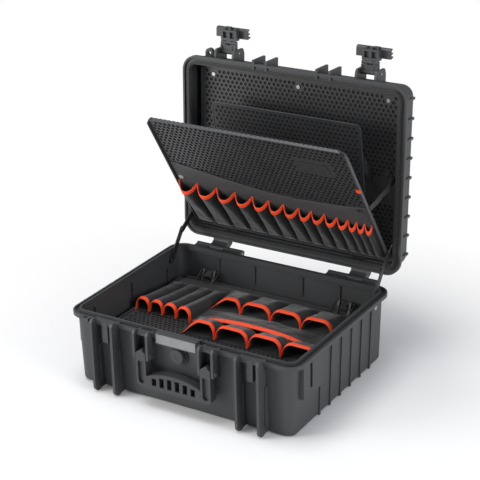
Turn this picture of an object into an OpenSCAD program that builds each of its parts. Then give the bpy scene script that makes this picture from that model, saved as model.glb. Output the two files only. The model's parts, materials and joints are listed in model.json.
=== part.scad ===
// Hard tool case with a lid organiser board and a lift-out base tray.
// Origin: centre of the base underside. X right, Y to the hinge side, Z up, millimetres.
// The lid and its pieces are drawn in the closed position and turned open about the hinge.

/* [Case] */
// Width over the rim flange, left to right
rim_w = 514; // [490:1:560]
// Depth over the rim flange, front to back
rim_d = 395; // [385:1:430]
// Height of the plane where base and lid meet
base_h = 155; // [150:1:175]
// Depth of the lid from that plane to its outer face
lid_h = 62; // [60:1:75]
// Outside corner radius of the rim flange
rim_r = 33; // [28:1:38]
// Step from the rim edge in to the side walls
side_inset = 12; // [10:0.5:13]
// Step from the rim edge in to the front and back walls
end_inset = 8; // [7:0.5:9]
// Wall thickness of the mouldings
wall = 4.5; // [3.5:0.1:5]
// Inward lean of the base walls from rim to floor
draft = 4; // [2:0.5:6]
// Edge radius round the base floor
floor_r = 8; // [5:0.5:11]
// Edge radius round the lid top
top_r = 15; // [10:1:17]

/* [Rim] */
// Thickness of the rim flange
flange_t = 8; // [6:0.5:9]
// Width of the outer lip on the flange
lip_w = 4; // [3:0.25:5]
// Distance from the rim edge to the sealing tongue
tongue_in = 12.5; // [11:0.25:13]
// Width of the sealing tongue
tongue_w = 4; // [3:0.25:5]
// Clearance between the closed lid and base
close_gap = 0.3; // [0.2:0.05:0.6]

/* [Ribs] */
// Spacing of the side ribs
rib_pitch = 42; // [38:0.5:43]
// Width of each side rib
rib_w = 5; // [4:0.25:7]
// How far a rib stands proud of the wall
rib_out = 3; // [2:0.25:4]

/* [Hinge] */
// Distance of the hinge axis behind the rim edge
hinge_back = 17.2; // [15:0.2:20]
// Drop of the hinge axis below the contact plane
hinge_drop = 10; // [9:0.5:12]
// Angle to which the lid opens
open_angle = 92.5; // [85:0.5:95]
// Inner end of each hinge block
hinge_x0 = 103; // [95:1:110]
// Outer end of each hinge block
hinge_x1 = 216; // [205:1:222]
// Radius of the hinge knuckles
knuckle_r = 7.5; // [6.5:0.25:8]
// Radius of the hinge pins
hinge_pin_r = 2.5; // [2:0.25:3]

/* [Latches] */
// Distance of each latch from the middle
latch_x = 161.9; // [155:0.5:165]
// Spacing of the two guard fins of a latch
fin_gap = 47; // [45:0.5:52]
// Thickness of the fins and rails
fin_t = 5.2; // [4:0.2:6]
// Width of the latch link
link_w = 37; // [33:0.5:39]
// Width of the latch lever head
head_w = 75; // [66:1:80]
// Length of the latch link between its pins
link_len = 20; // [18:0.5:22]

/* [Handle] */
// Width of the handle over its arms
handle_w = 167; // [160:1:168]
// Height of the handle below its pivots
handle_drop = 63; // [55:1:75]
// Drop of the handle pivots below the contact plane
handle_under = 50.5; // [48:0.5:56]

/* [Tool board] */
// Room from the rim edge to each side of the board at its lower edge
board_side = 26.5; // [26:0.5:34]
// How much each side of the board runs in towards its upper edge
board_taper = 8; // [4:0.5:12]
// How much shorter the board is than the case is deep
board_short = 42; // [40:1:58]
// Lean of the board away from the lid
board_tilt = 35.6; // [30:0.2:36]
// Thickness of the perforated sheets
sheet_t = 2.4; // [2:0.1:3]
// Height of the raised rims on the sheets
sheet_rim = 5; // [4:0.25:6]
// Thickness of the pocket fabric
cloth_t = 1.2; // [1:0.1:1.6]
// Height of the hem band on each pocket
hem_h = 6; // [5:0.5:8]

/* [Document board] */
// Room from the rim edge to each side of the document board
doc_side = 85; // [82:0.5:97]
// How much shorter the document board is than the case is deep
doc_short = 118; // [112:1:135]
// Lean of the document board away from the lid
doc_tilt = 10.4; // [8:0.2:12]

/* [Tray] */
// Room from the rim edge to each side of the tray
tray_side = 31; // [30:0.5:38]
// How much shorter the tray is than the case is deep
tray_short = 55; // [51:1:66]
// Depth of the tray sheet below the contact plane
tray_under = 72; // [68:0.5:77]
// Corner radius of the pocket mouths on the tray
mouth_r = 19; // [10:0.5:24]

/* [Stays] */
// Length of the lower stay link
stay_a = 71.8; // [71.8:0.1:71.9]
// Length of the upper stay link
stay_b = 64; // [63.9:0.1:64]
// Width of the stay links
stay_w = 13; // [10:0.5:14]
// Thickness of the stay links
stay_t = 2; // [1.5:0.1:2.2]

/* [Hidden] */
$fn = 48;

half_w = rim_w / 2;
half_d = rim_d / 2;
wall_x = half_w - side_inset;
wall_y = half_d - end_inset;
wall_r = 22;
cx = wall_x - wall_r;
cy = wall_y - wall_r;
lip_z = base_h - 4;
flange_z = lip_z - flange_t;
rim_in = tongue_in + tongue_w;
hinge_y = half_d + hinge_back;
hinge_z = base_h - hinge_drop;
lid_wall_in = 9;
lid_x = half_w - lid_wall_in;
lid_y = half_d - lid_wall_in;
lid_r = rim_r - lid_wall_in;
lid_lip = 2;
lid_top = base_h + lid_h;
lid_wall = 4;
split_a = hinge_x0 + 44;
split_b = hinge_x0 + 82;
run_gap = 0.05;
part_gap = 0.4;
fin_in = fin_gap / 2;
fin_foot = 12.5;
fin_y = -half_d - 18.8;
latch_y = -half_d - 9;
latch_z = base_h + 33;
link_r = 4.5;
head_off = 10.5;
rail_x0 = handle_w / 2 - 25.7;
rail_x1 = handle_w / 2 + 4.1;
handle_y = -half_d - 8.5;
handle_z = base_h - handle_under;
valve_z = base_h - 39.5;
arm_w = 22.4;
arm_in = handle_w / 2 - arm_w;
handle_pin_r = 2.5;
panel_z = base_h + 36.7;
panel_t = 2.4;
panel_x = half_w - 25;
panel_y0 = -half_d + 22;
panel_y1 = half_d - 16;
board_w0 = rim_w - 2 * board_side;
board_w1 = board_w0 - 2 * board_taper;
board_len = rim_d - board_short;
board_u = board_w0 / 461;
board_s = board_len / 353;
doc_w = rim_w - 2 * doc_side;
doc_len = rim_d - doc_short;
board_y = half_d - 23.9;
board_z = base_h + 19.35;
doc_y = half_d - 40;
doc_z = base_h + 29;
board_x = 150;
doc_x = 118;
board_pin_r = 1.5;
doc_pin_r = 1;
stay_y = half_d - 54.5;
stay_z = base_h - 25;
stay_lx = half_d - 59.5;
stay_lz = base_h + 13;
stay_x0 = half_w - rim_in - 2.2;
stay_xl = stay_x0 - stay_t;
stay_xu = stay_xl - 0.6 - stay_t;
tray_w = rim_w - 2 * tray_side;
tray_d = rim_d - tray_short;
tray_z = base_h - tray_under;
tray_y = -2;
tray_top = tray_z + sheet_t;
row_x = tray_w / 452;
row_y = tray_d / 340;
clip_x = 162 * row_x;
clip_y = tray_y + tray_d / 2 + 8.5;
clip_z = tray_top + 22;
clip_lean = 30;
clip_half = 21;
clip_leg = 29.5;

// plan outline with rounded corners
module rrect(w, d, r) {
  square([w - 2 * r, d], center = true);
  square([w, d - 2 * r], center = true);
  for (sx = [-1, 1], sy = [-1, 1]) translate([sx * (w / 2 - r), sy * (d / 2 - r)]) circle(r);
}

// ring between two insets from the rim edge
module rim_ring(in0, in1, h) {
  linear_extrude(h) difference() {
    rrect(rim_w - 2 * in0, rim_d - 2 * in0, rim_r - in0);
    rrect(rim_w - 2 * in1, rim_d - 2 * in1, rim_r - in1);
  }
}

// rounded block whose corner radius grows from r0 to r1 over its height
module taper_box(px, py, r0, r1, h) {
  for (sx = [-1, 1], sy = [-1, 1]) translate([sx * px, sy * py, 0]) cylinder(r1 = r0, r2 = r1, h = h);
  rotate([90, 0, 0]) linear_extrude(2 * py, center = true)
    polygon([[-px - r0, 0], [px + r0, 0], [px + r1, h], [-px - r1, h]]);
  rotate([90, 0, 90]) linear_extrude(2 * px, center = true)
    polygon([[-py - r0, 0], [py + r0, 0], [py + r1, h], [-py - r1, h]]);
}

// edge outline of a slab of half-width p + r with its lower corners rounded by e
module foot_outline(p, r, e) {
  intersection() {
    union() {
      for (s = [-1, 1]) translate([s * (p + r - e), e]) circle(e);
      translate([-p - r + e, 0]) square([2 * (p + r - e), e]);
    }
    translate([-p - r, 0]) square([2 * (p + r), e]);
  }
}

// slab of height e with a rounded lower edge
module foot_slab(px, py, r, e) {
  for (sx = [-1, 1], sy = [-1, 1]) translate([sx * px, sy * py, 0]) rotate_extrude() intersection() {
    union() {
      translate([r - e, e]) circle(e);
      square([r - e, e]);
    }
    square([r, e]);
  }
  rotate([90, 0, 0]) linear_extrude(2 * py, center = true) foot_outline(px, r, e);
  rotate([90, 0, 90]) linear_extrude(2 * px, center = true) foot_outline(py, r, e);
}

// plate standing across X: outline given in Y and Z
module plate_x(x0, x1) {
  translate([x0, 0, 0]) rotate([90, 0, 90]) linear_extrude(x1 - x0) children();
}

// round bar along X
module bar_x(x0, x1, y, z, r) {
  translate([x0, y, z]) rotate([0, 90, 0]) cylinder(r = r, h = x1 - x0);
}

// both sides of the case
module mirrored() {
  children();
  mirror([1, 0, 0]) children();
}

// guard fin outline: drawn from the wall out to the front edge
module fin_outline() {
  polygon([[-wall_y + 3, fin_foot], [fin_y, fin_foot], [fin_y, lip_z - 1], [fin_y + 4, base_h + 1.5],
    [-half_d - 6, base_h + 1.5], [-half_d, lip_z], [-wall_y + 3, lip_z]]);
  translate([fin_y + fin_foot, fin_foot]) circle(fin_foot);
  translate([fin_y + fin_foot, 2]) square([-wall_y + 7 - fin_y - fin_foot, fin_foot]);
}

// thicker root of a fin against the wall
module fin_root() {
  polygon([[-wall_y + 4, 9], [-wall_y - 4, 12], [-wall_y - 7.5, 20], [-wall_y - 7.5, 96],
    [-wall_y + 3, 104]]);
}

// handle rail outline with a slanted foot
module rail_outline() {
  polygon([[-wall_y + 2, handle_z - 12], [fin_y + 2, handle_z - 5.5], [fin_y + 2, lip_z - 1],
    [fin_y + 6, base_h + 1.5], [-half_d - 5, base_h + 1.5], [-half_d, lip_z], [-wall_y + 2, lip_z]]);
}

module base_tub() {
  difference() {
    union() {
      translate([0, 0, floor_r]) taper_box(cx, cy, wall_r - draft, wall_r, flange_z + 1 - floor_r);
      foot_slab(cx, cy, wall_r - draft, floor_r);
      translate([0, 0, flange_z]) rim_ring(0, rim_in, flange_t - 4);
      translate([0, 0, flange_z + flange_t - 4]) rim_ring(0, lip_w, 4);
      translate([0, 0, flange_z + flange_t - 4])
        rim_ring(tongue_in, rim_in, base_h - flange_z - flange_t + 4);
      mirrored() for (k = [-2:3]) side_rib(k * rib_pitch);
      mirrored() strap_lug();
    }
    translate([0, 0, wall]) difference() {
      taper_box(cx, cy, wall_r - wall - draft, wall_r - wall, flange_z - wall + 0.01);
      mirrored() inner_ribs();
    }
    translate([0, 0, flange_z - 0.01]) linear_extrude(flange_t)
      rrect(rim_w - 2 * rim_in, rim_d - 2 * rim_in, rim_r - rim_in);
  }
}

module side_rib(y) {
  translate([0, y + rib_w / 2, 0]) rotate([90, 0, 0]) linear_extrude(rib_w)
    polygon([[wall_x - draft - 3, 1.5], [wall_x - draft + rib_out - 1, 1.5],
      [wall_x + rib_out, flange_z + 1], [wall_x - 3, flange_z + 1]]);
}

// raised strap lug with its upright slot
module strap_lug() {
  lug_z = base_h - 81;
  lug_h = flange_z + 3 - lug_z;
  difference() {
    translate([wall_x - 4, -half_d + 33.5, lug_z]) cube([side_inset - 4 + 4, 67, lug_h]);
    translate([wall_x + 1.5, -half_d + 58, lug_z + 14]) cube([side_inset, 8.5, lug_h - 20]);
  }
}

// stiffening ribs left standing inside the walls, and the ledges that carry the tray
module inner_ribs() {
  rib_z = tray_z + 13 - wall;
  for (y = [-half_d + 67.5, -2])
    translate([wall_x - draft - wall - 1.5, y - 2.5, rib_z]) cube([20, 5, lip_z - tray_z - 26]);
  translate([wall_x - draft - wall - 1.5, half_d - 74, tray_z + 3 - wall]) cube([20, 5, 32]);
  for (s = [-1, 1]) translate([tray_w / 2 - 5, s * tray_d * 0.294 - 12, tray_z - 13 - wall])
    cube([40, 24, 13]);
  for (x = [half_w * 0.222, half_w * 0.562])
    translate([x - 2.5, wall_y - wall - 3.5, rib_z]) cube([5, 20, lip_z - tray_z - 26]);
}

module hinge_arm(x0, x1) {
  plate_x(x0, x1) union() {
    polygon([[wall_y - 3, hinge_z - 24], [wall_y + 4, hinge_z - 24],
      [hinge_y + knuckle_r * 0.5, hinge_z - knuckle_r * 0.85],
      [hinge_y, hinge_z + knuckle_r * 0.6], [half_d - 1, lip_z - 1], [wall_y - 3, lip_z - 1]]);
    translate([hinge_y, hinge_z]) circle(knuckle_r);
  }
}

module base_fittings() {
  mirrored() {
    for (s = [-1, 1]) {
      plate_x(latch_x + s * fin_in - fin_t / 2, latch_x + s * fin_in + fin_t / 2) fin_outline();
      plate_x(latch_x + s * fin_in - fin_t, latch_x + s * fin_in + fin_t) fin_root();
    }
    translate([latch_x - fin_in, -half_d - 4.5, flange_z]) cube([fin_gap, 14, flange_t]);
    translate([latch_x - 6.5, -half_d - 5.5, base_h - 48]) cube([13, 14, 44]);
    for (x = [rail_x0, rail_x1]) plate_x(x - fin_t / 2, x + fin_t / 2) rail_outline();
    translate([rail_x0, -half_d - 9, lip_z - 5]) cube([rail_x1 - rail_x0, 16, 5]);
    hinge_arm(hinge_x0, split_a);
    hinge_arm(split_b, hinge_x1);
  }
  translate([-46, -half_d - 3, base_h - 22]) cube([92, 13, 24]);
  bar_y(0, valve_z, 20, -wall_y - 2.5, -wall_y + 2);
  translate([-half_w + 39, -half_d - 9.5, lip_z - 6]) cube([20, 12, 6]);
}

// round bar along Y
module bar_y(x, z, r, y0, y1) {
  translate([x, y1, z]) rotate([90, 0, 0]) cylinder(r = r, h = y1 - y0);
}

module base_shell() {
  color([0.19, 0.2, 0.2]) difference() {
    union() {
      base_tub();
      base_fittings();
    }
    mirrored() bar_x(hinge_x0 - 1, hinge_x1 + 1, hinge_y, hinge_z, hinge_pin_r + run_gap);
    mirrored() bar_x(rail_x0 - fin_t, rail_x1 + fin_t, handle_y, handle_z, handle_pin_r + run_gap);
    mirrored() bar_x(stay_x0, wall_x + 10, stay_y, stay_z, 3);
    bar_y(0, valve_z, 8, -wall_y - 10, -wall_y + 10);
    translate([-half_w + 49, -half_d - 2.5, lip_z - 9]) cylinder(r = 4, h = 12);
  }
}

module hinge_pins() {
  color("silver") mirrored() {
    bar_x(hinge_x0, hinge_x1, hinge_y, hinge_z, hinge_pin_r);
    bar_x(hinge_x1, hinge_x1 + 1.6, hinge_y, hinge_z, hinge_pin_r + 1.2);
  }
}

module name_plate() {
  color("silver") translate([-44, -half_d - 3.8, base_h - 19.5]) cube([88, 0.8, 19]);
}

// screwed-in pressure valve in the front wall
module valve_body() {
  color([0.12, 0.12, 0.12]) difference() {
    union() {
      bar_y(0, valve_z, 7.9, -wall_y - 3, -wall_y + 7);
      bar_y(0, valve_z, 17.5, -wall_y - 5.5, -wall_y - 2.5);
    }
    bar_y(0, valve_z, 3, -wall_y - 7, -wall_y + 8);
    for (k = [0:11]) translate([18.2 * cos(30 * k), 0, valve_z + 18.2 * sin(30 * k)])
      bar_y(0, 0, 2.2, -wall_y - 7, -wall_y - 2);
  }
}

module valve_cap() {
  color([0.2, 0.2, 0.2]) difference() {
    union() {
      bar_y(0, valve_z, 15, -wall_y - 9, -wall_y - 5.5);
      bar_y(0, valve_z, 13.5, -wall_y - 10, -wall_y - 9);
    }
    for (k = [0:23]) translate([16 * cos(15 * k), 0, valve_z + 16 * sin(15 * k)])
      bar_y(0, 0, 1.5, -wall_y - 11, -wall_y - 5);
    translate([0, -wall_y - 9.4, valve_z]) rotate([90, 0, 0]) cylinder(r = 6, h = 4, $fn = 6);
  }
}

// bail handle with two arms, a windowed grip and pointed arm tops
module handle() {
  color([0.16, 0.17, 0.17]) difference() {
    union() {
      intersection() {
        translate([0, handle_y + 9, 0]) rotate([90, 0, 0]) linear_extrude(18) handle_outline();
        union() {
          translate([-100, handle_y - 20, 0]) cube([200, 40, handle_z]);
          bar_x(-100, 100, handle_y, handle_z, 15);
        }
      }
      mirrored() bar_x(arm_in + arm_w - 0.5, rail_x1 - fin_t / 2 - 0.2, handle_y, handle_z, 6);
    }
    mirrored() bar_x(arm_in - 1, rail_x1, handle_y, handle_z, handle_pin_r + run_gap);
    mirrored() for (s = [-1, 1]) translate([arm_in + arm_w / 2, handle_y + s * 9, 0]) arm_channel();
    for (k = [-2.5:1:2.5]) translate([k * 17.5 - 5, handle_y - 10, handle_z - handle_drop + 8])
      grip_window(k);
  }
}

module handle_outline() {
  z0 = handle_z - handle_drop;
  mirrored() polygon([[arm_in, z0], [arm_in + arm_w - 6, z0], [arm_in + arm_w, z0 + 6],
    [arm_in + arm_w, handle_z + 8],
    [arm_in + arm_w / 2, handle_z + 15.5], [arm_in, handle_z + 8]]);
  difference() {
    translate([-arm_in - 1, z0]) square([2 * arm_in + 2, 38]);
    arch_cut(z0);
  }
}

// round-ended channel in the face of an arm
module arm_channel() {
  r = arm_w / 2 - 4.5;
  low = handle_z - handle_drop + 7 + r;
  bar_y(0, low, r, -5, 5);
  translate([-r, -5, low]) cube([2 * r, 10, handle_z - 9 - low]);
}

// opening above the grip: a shallow arch between the arms
module arch_cut(z0) {
  difference() {
    translate([-arm_in, z0 + 20]) square([2 * arm_in, 30]);
    translate([0, z0 + 38 - 149.5]) circle(149.5, $fn = 96);
  }
}

module grip_window(k) {
  top = 38 - (k * 17.5) * (k * 17.5) / 299 - 16;
  cube([10, 20, top]);
}

module handle_pins() {
  color("silver") mirrored() {
    bar_x(rail_x0 - fin_t / 2 - 2, rail_x1 + fin_t / 2 + 2, handle_y, handle_z, handle_pin_r);
    bar_x(rail_x1 + fin_t / 2, rail_x1 + fin_t / 2 + 2, handle_y, handle_z, 4.2);
    bar_x(rail_x0 - fin_t / 2 - 2, rail_x0 - fin_t / 2, handle_y, handle_z, 4.2);
  }
}

// turns children drawn with the lid shut into the open position
module open_lid() {
  translate([0, hinge_y, hinge_z]) rotate([-open_angle, 0, 0]) translate([0, -hinge_y, -hinge_z])
    children();
}

// lid outline mirrored on the rim, drawn shut
module lid_tub() {
  z0 = base_h + lid_lip;
  difference() {
    union() {
      translate([0, 0, z0 + 4]) linear_extrude(lid_h - top_r - lid_lip - 4)
        rrect(2 * lid_x, 2 * lid_y, lid_r);
      translate([0, 0, lid_top]) mirror([0, 0, 1]) foot_slab(lid_x - lid_r, lid_y - lid_r, lid_r, top_r);
      translate([0, 0, z0 + 4]) rim_ring(0, tongue_in + 5.5, flange_t - 4);
      translate([0, 0, z0]) rim_ring(0, lip_w, 4);
      translate([0, 0, z0]) rim_ring(tongue_in - 1.5, tongue_in - 0.2, 4);
      translate([0, 0, z0]) rim_ring(tongue_in + 4.2, tongue_in + 5.5, 4);
      mirrored() for (k = [-4:4]) translate([lid_x - 3, k * rib_pitch * 0.97 - rib_w / 2, z0 + 4])
        cube([3 + rib_out, rib_w, lid_h - top_r]);
    }
    difference() {
      union() {
        translate([0, 0, z0 + flange_t]) linear_extrude(lid_h - top_r - lid_lip - flange_t)
          rrect(2 * (lid_x - lid_wall), 2 * (lid_y - lid_wall), lid_r - lid_wall);
        translate([0, 0, lid_top - lid_wall]) mirror([0, 0, 1])
          foot_slab(lid_x - lid_r, lid_y - lid_r, lid_r - lid_wall, top_r - lid_wall + 0.01);
        translate([0, 0, z0 + 3.9]) linear_extrude(flange_t)
          rrect(rim_w - 2 * tongue_in - 11, rim_d - 2 * tongue_in - 11, rim_r - tongue_in - 5.5);
      }
      panel_posts();
      mirrored() bar_x(stay_xu + stay_t + 0.3, lid_x, stay_lx, stay_lz, 5);
    }
  }
}

// posts that carry the back panel
module panel_posts() {
  for (p = panel_points()) translate([p[0], p[1], panel_z + panel_t]) cylinder(r = 5, h = 60);
}

function panel_points() = [[30 - panel_x, -half_d + 43], [0, -half_d + 43], [panel_x - 30, -half_d + 43],
  [27 - panel_x, -2.5], [panel_x - 27, -2.5], [30 - panel_x, half_d - 43], [panel_x - 30, half_d - 43],
  [0, half_d - 60]];

module lid_arm(x0, x1) {
  plate_x(x0, x1) union() {
    polygon([[lid_y - 2, base_h + lid_lip + 6], [half_d + 5.5, base_h + 3],
      [hinge_y - knuckle_r, hinge_z + 6],
      [hinge_y - knuckle_r, hinge_z], [hinge_y + knuckle_r, hinge_z], [hinge_y + knuckle_r, hinge_z + 6],
      [half_d + 13, base_h + 20], [lid_y - 2, base_h + 26]]);
    translate([hinge_y, hinge_z]) circle(knuckle_r);
  }
}

// ears on the lid front that hold a latch pin
module latch_ears() {
  for (s = [-1, 1]) translate([s * (link_w / 2 + 2.7), 0, 0])
    plate_x(latch_x - 2.3, latch_x + 2.3) difference() {
    union() {
      translate([-half_d - 2, latch_z]) circle(22);
      translate([-half_d - 2, latch_z - 22]) square([half_d - lid_y + 4, 44]);
    }
    translate([-half_d - 30, latch_z - 30]) square([13, 60]);
    translate([-lid_y + 2, latch_z - 30]) square([40, 60]);
  }
}

module lid_shell() {
  color([0.19, 0.2, 0.2]) open_lid() difference() {
    union() {
      lid_tub();
      mirrored() lid_arm(split_a + part_gap, split_b - part_gap);
      mirrored() latch_ears();
      mirrored() for (x = [rail_x0, rail_x1]) translate([x - fin_t / 2, -half_d - 8, base_h + 3])
        cube([fin_t, 19, lid_h - top_r]);
      difference() {
        union() {
          translate([-half_w + 40, -half_d - 3.5, latch_z - 5]) cube([18, 15, 9]);
          translate([-half_w + 49, -half_d - 3.5, latch_z - 5]) cylinder(r = 9, h = 9);
        }
        translate([-half_w + 49, -half_d - 2.5, latch_z - 9]) cylinder(r = 4.4, h = 20);
      }
    }
    mirrored() bar_x(hinge_x0 - 1, hinge_x1 + 1, hinge_y, hinge_z, hinge_pin_r + run_gap);
    mirrored() bar_x(latch_x - 40, latch_x + 40, latch_y, latch_z, 2 + run_gap);
    mirrored() bar_x(stay_xu - 2, lid_x - 1, stay_lx, stay_lz, 2.4);
    for (p = panel_points()) translate([p[0], p[1], panel_z - 1]) cylinder(r = 1.8, h = 14);
  }
}

module lid_seal() {
  color([0.07, 0.07, 0.07]) open_lid() translate([0, 0, base_h + close_gap])
    rim_ring(tongue_in, tongue_in + 4, lid_lip + 4 - close_gap);
}

// convex outline rounded by r about its corner points, given anticlockwise
module poly_round(pts, r) {
  polygon(pts);
  for (i = [0:len(pts) - 1]) {
    p = pts[i];
    q = pts[(i + 1) % len(pts)];
    n = [q[1] - p[1], p[0] - q[0]] / norm(q - p);
    polygon([p, p + n * r, q + n * r, q]);
    translate(p) circle(r);
  }
}

// flat sheet with a raised rim, outline corners given
module rimmed_sheet(pts, r, t, rim_h, rim_t) {
  linear_extrude(t) poly_round(pts, r);
  translate([0, 0, t]) linear_extrude(rim_h) difference() {
    poly_round(pts, r);
    poly_round(pts, r - rim_t);
  }
}

module back_panel() {
  color([0.24, 0.25, 0.25]) open_lid() difference() {
    translate([0, 0, panel_z + panel_t]) mirror([0, 0, 1])
      rimmed_sheet([[-panel_x + 14, panel_y0 + 14], [panel_x - 14, panel_y0 + 14],
        [panel_x - 14, panel_y1 - 14], [-panel_x + 14, panel_y1 - 14]], 14, panel_t, 3.7, 3);
    for (p = panel_points()) translate([p[0], p[1], panel_z - 2]) cylinder(r = 2.1, h = 8);
  }
}

module panel_screws() {
  color("silver") open_lid() for (p = panel_points()) translate([p[0], p[1], 0]) {
    translate([0, 0, panel_z - 1.6]) cylinder(r = 4, h = 1.6);
    translate([0, 0, panel_z]) cylinder(r = 1.75, h = 12);
  }
}

// latch link: a plate between two knuckles, drawn open with the lid shut
module latch_link() {
  difference() {
    union() {
      bar_x(latch_x - link_w / 2, latch_x + link_w / 2, latch_y, latch_z, link_r);
      translate([latch_x - link_w / 2, latch_y - link_len + 3.4, latch_z - 3])
        cube([link_w, link_len - 3.4, 6]);
      for (s = [-1, 1]) translate([latch_x + s * (link_w / 2 - 1.75)
        - 1.75, latch_y - link_len + 5, latch_z - 5])
        cube([3.5, link_len - 7, 3]);
      translate([latch_x - 9, latch_y - link_len + 6, latch_z - 4]) cube([18, link_len - 11, 2]);
      bar_x(latch_x - link_w / 2, latch_x - 6, latch_y - link_len, latch_z, 3.8);
      bar_x(latch_x + 6, latch_x + link_w / 2, latch_y - link_len, latch_z, 3.8);
      translate([latch_x - link_w / 2, latch_y - link_len, latch_z - 3]) cube([link_w / 2 - 6, 5, 6]);
      translate([latch_x + 6, latch_y - link_len, latch_z - 3]) cube([link_w / 2 - 6, 5, 6]);
    }
    bar_x(latch_x - 30, latch_x + 30, latch_y, latch_z, 2 + run_gap);
    bar_x(latch_x - 30, latch_x + 30, latch_y - link_len, latch_z, 1.5 + run_gap);
    translate([latch_x - 6.2, latch_y - link_len - 6, latch_z - 8]) cube([12.4, 10.6, 16]);
  }
}

module latch_link_l() {
  color([0.13, 0.14, 0.14]) open_lid() mirror([1, 0, 0]) latch_link();
}

module latch_link_r() {
  color([0.13, 0.14, 0.14]) open_lid() latch_link();
}

// T-headed lever with two windows and a ridged head
module latch_lever() {
  ly = latch_y - link_len;
  difference() {
    union() {
      bar_x(latch_x - 5.8, latch_x + 5.8, ly, latch_z, 3.8);
      translate([latch_x - 5.8, ly - 6, latch_z - 2.8]) cube([11.6, 6, 6.6]);
      translate([latch_x - link_w / 2, ly - 26, latch_z - 2.8]) cube([link_w, 21.2, head_off + 3]);
      plate_x(latch_x - head_w / 2, latch_x + head_w / 2) translate([ly, latch_z + head_off])
        head_profile();
      for (s = [-1, 0, 1]) translate([latch_x + s * 12.5 - 2.5, ly - 29, latch_z + 2])
        cube([5, 4, head_off + 2]);
      translate([latch_x + 1, ly - 30.5, latch_z + 6]) cube([13, 5, head_off - 2]);
    }
    bar_x(latch_x - 30, latch_x + 30, ly, latch_z, 1.5 + run_gap);
    for (s = [-1, 1]) translate([latch_x + s * 8 - 5.5, ly - 22.5, latch_z - 5]) cube([11, 13, 7.5]);
  }
}

// section through the lever head: a plate with three finger ridges, from the pivot out
module head_profile() {
  polygon([[-8, 0], [-25, 0], [-28, 2.5], [-28.5, 8], [-26.2, 8.5], [-25, 4.5], [-20.4, 4.5], [-19.8, 10.5],
    [-17.6, 11], [-16.6, 4.5], [-12.8, 4.5], [-12.2, 12], [-10, 12.5], [-8, 5]]);
}

module latch_lever_l() {
  color([0.11, 0.12, 0.12]) open_lid() mirror([1, 0, 0]) latch_lever();
}

module latch_lever_r() {
  color([0.11, 0.12, 0.12]) open_lid() latch_lever();
}

module latch_pins() {
  color("silver") open_lid() mirrored()
    bar_x(latch_x - link_w / 2 - 6, latch_x + link_w / 2 + 6, latch_y, latch_z, 2);
}

module lever_pin_l() {
  color("silver") open_lid() mirror([1, 0, 0])
    bar_x(latch_x - link_w / 2 - 0.2, latch_x + link_w / 2 + 0.2, latch_y - link_len, latch_z, 1.5);
}

module lever_pin_r() {
  color("silver") open_lid()
    bar_x(latch_x - link_w / 2 - 0.2, latch_x + link_w / 2 + 0.2, latch_y - link_len, latch_z, 1.5);
}

// flat link between two points in Y and Z
module stay_link(x0, y, z, angle, l, hole0, hole1) {
  translate([x0, y, z]) rotate([angle, 0, 0]) rotate([90, 0, 90]) linear_extrude(stay_t) difference() {
    union() {
      translate([0, -stay_w / 2]) square([l, stay_w]);
      circle(stay_w / 2);
      translate([l, 0]) circle(stay_w / 2);
    }
    circle(hole0);
    translate([l, 0]) circle(hole1);
  }
}

module stay_lower() {
  rest = atan2(stay_kz() - stay_z, stay_ky() - stay_y);
  stay_link(stay_xl, stay_y, stay_z, rest, stay_a, 3.05, 1.5);
  bar_x(stay_xl - 0.25, stay_xl + 0.5, stay_ky(), stay_kz(), 5);
}

// place of the lid pivot with the lid open
function stay_py() = hinge_y + (stay_lx - hinge_y) * cos(open_angle) + (stay_lz - hinge_z)
  * sin(open_angle);
function stay_pz() = hinge_z - (stay_lx - hinge_y) * sin(open_angle) + (stay_lz - hinge_z)
  * cos(open_angle);
// distance and direction from the base pivot to the lid pivot
function stay_d() = norm([stay_py() - stay_y, stay_pz() - stay_z]);
function stay_dir() = atan2(stay_pz() - stay_z, stay_py() - stay_y);
function stay_in() = acos((stay_a * stay_a + stay_d() * stay_d() - stay_b * stay_b)
  / (2 * stay_a * stay_d()));
// knuckle between the two links with the lid open
function stay_ky() = stay_y + stay_a * cos(stay_dir() + stay_in());
function stay_kz() = stay_z + stay_a * sin(stay_dir() + stay_in());

module stay_upper() {
  rest = atan2(stay_kz() - stay_pz(), stay_ky() - stay_py());
  stay_link(stay_xu, stay_py(), stay_pz(), rest, stay_b, 2.4, 1.5);
  bar_x(stay_xu + stay_t - 0.5, stay_xu + stay_t + 0.25, stay_ky(), stay_kz(), 5);
  bar_x(stay_xu - 1.2, stay_xu + 0.5, stay_ky(), stay_kz(), 4);
}

module stay_lower_l() {
  color([0.1, 0.1, 0.1]) mirror([1, 0, 0]) stay_lower();
}

module stay_lower_r() {
  color([0.1, 0.1, 0.1]) stay_lower();
}

module stay_upper_l() {
  color([0.1, 0.1, 0.1]) mirror([1, 0, 0]) stay_upper();
}

module stay_upper_r() {
  color([0.1, 0.1, 0.1]) stay_upper();
}

module stay_base_rivets() {
  color("silver") mirrored() {
    bar_x(stay_xl - 0.3, wall_x + 1.4, stay_y, stay_z, 3);
    bar_x(wall_x, wall_x + 1.4, stay_y, stay_z, 6);
  }
}

module stay_lid_pins() {
  color("silver") open_lid() mirrored() {
    bar_x(stay_xu - 1.5, lid_x - 1.5, stay_lx, stay_lz, 2.35);
    bar_x(stay_xu - 1.5, stay_xu - 0.1, stay_lx, stay_lz, 4);
  }
}

// board coordinates: X across, Y up the board from its hinge line, Z out of its front face
module on_board() {
  open_lid() translate([0, board_y, board_z]) rotate([board_tilt, 0, 0]) rotate([180, 0, 0]) children();
}

module on_doc() {
  open_lid() translate([0, doc_y, doc_z]) rotate([doc_tilt, 0, 0]) rotate([180, 0, 0]) children();
}

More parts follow.
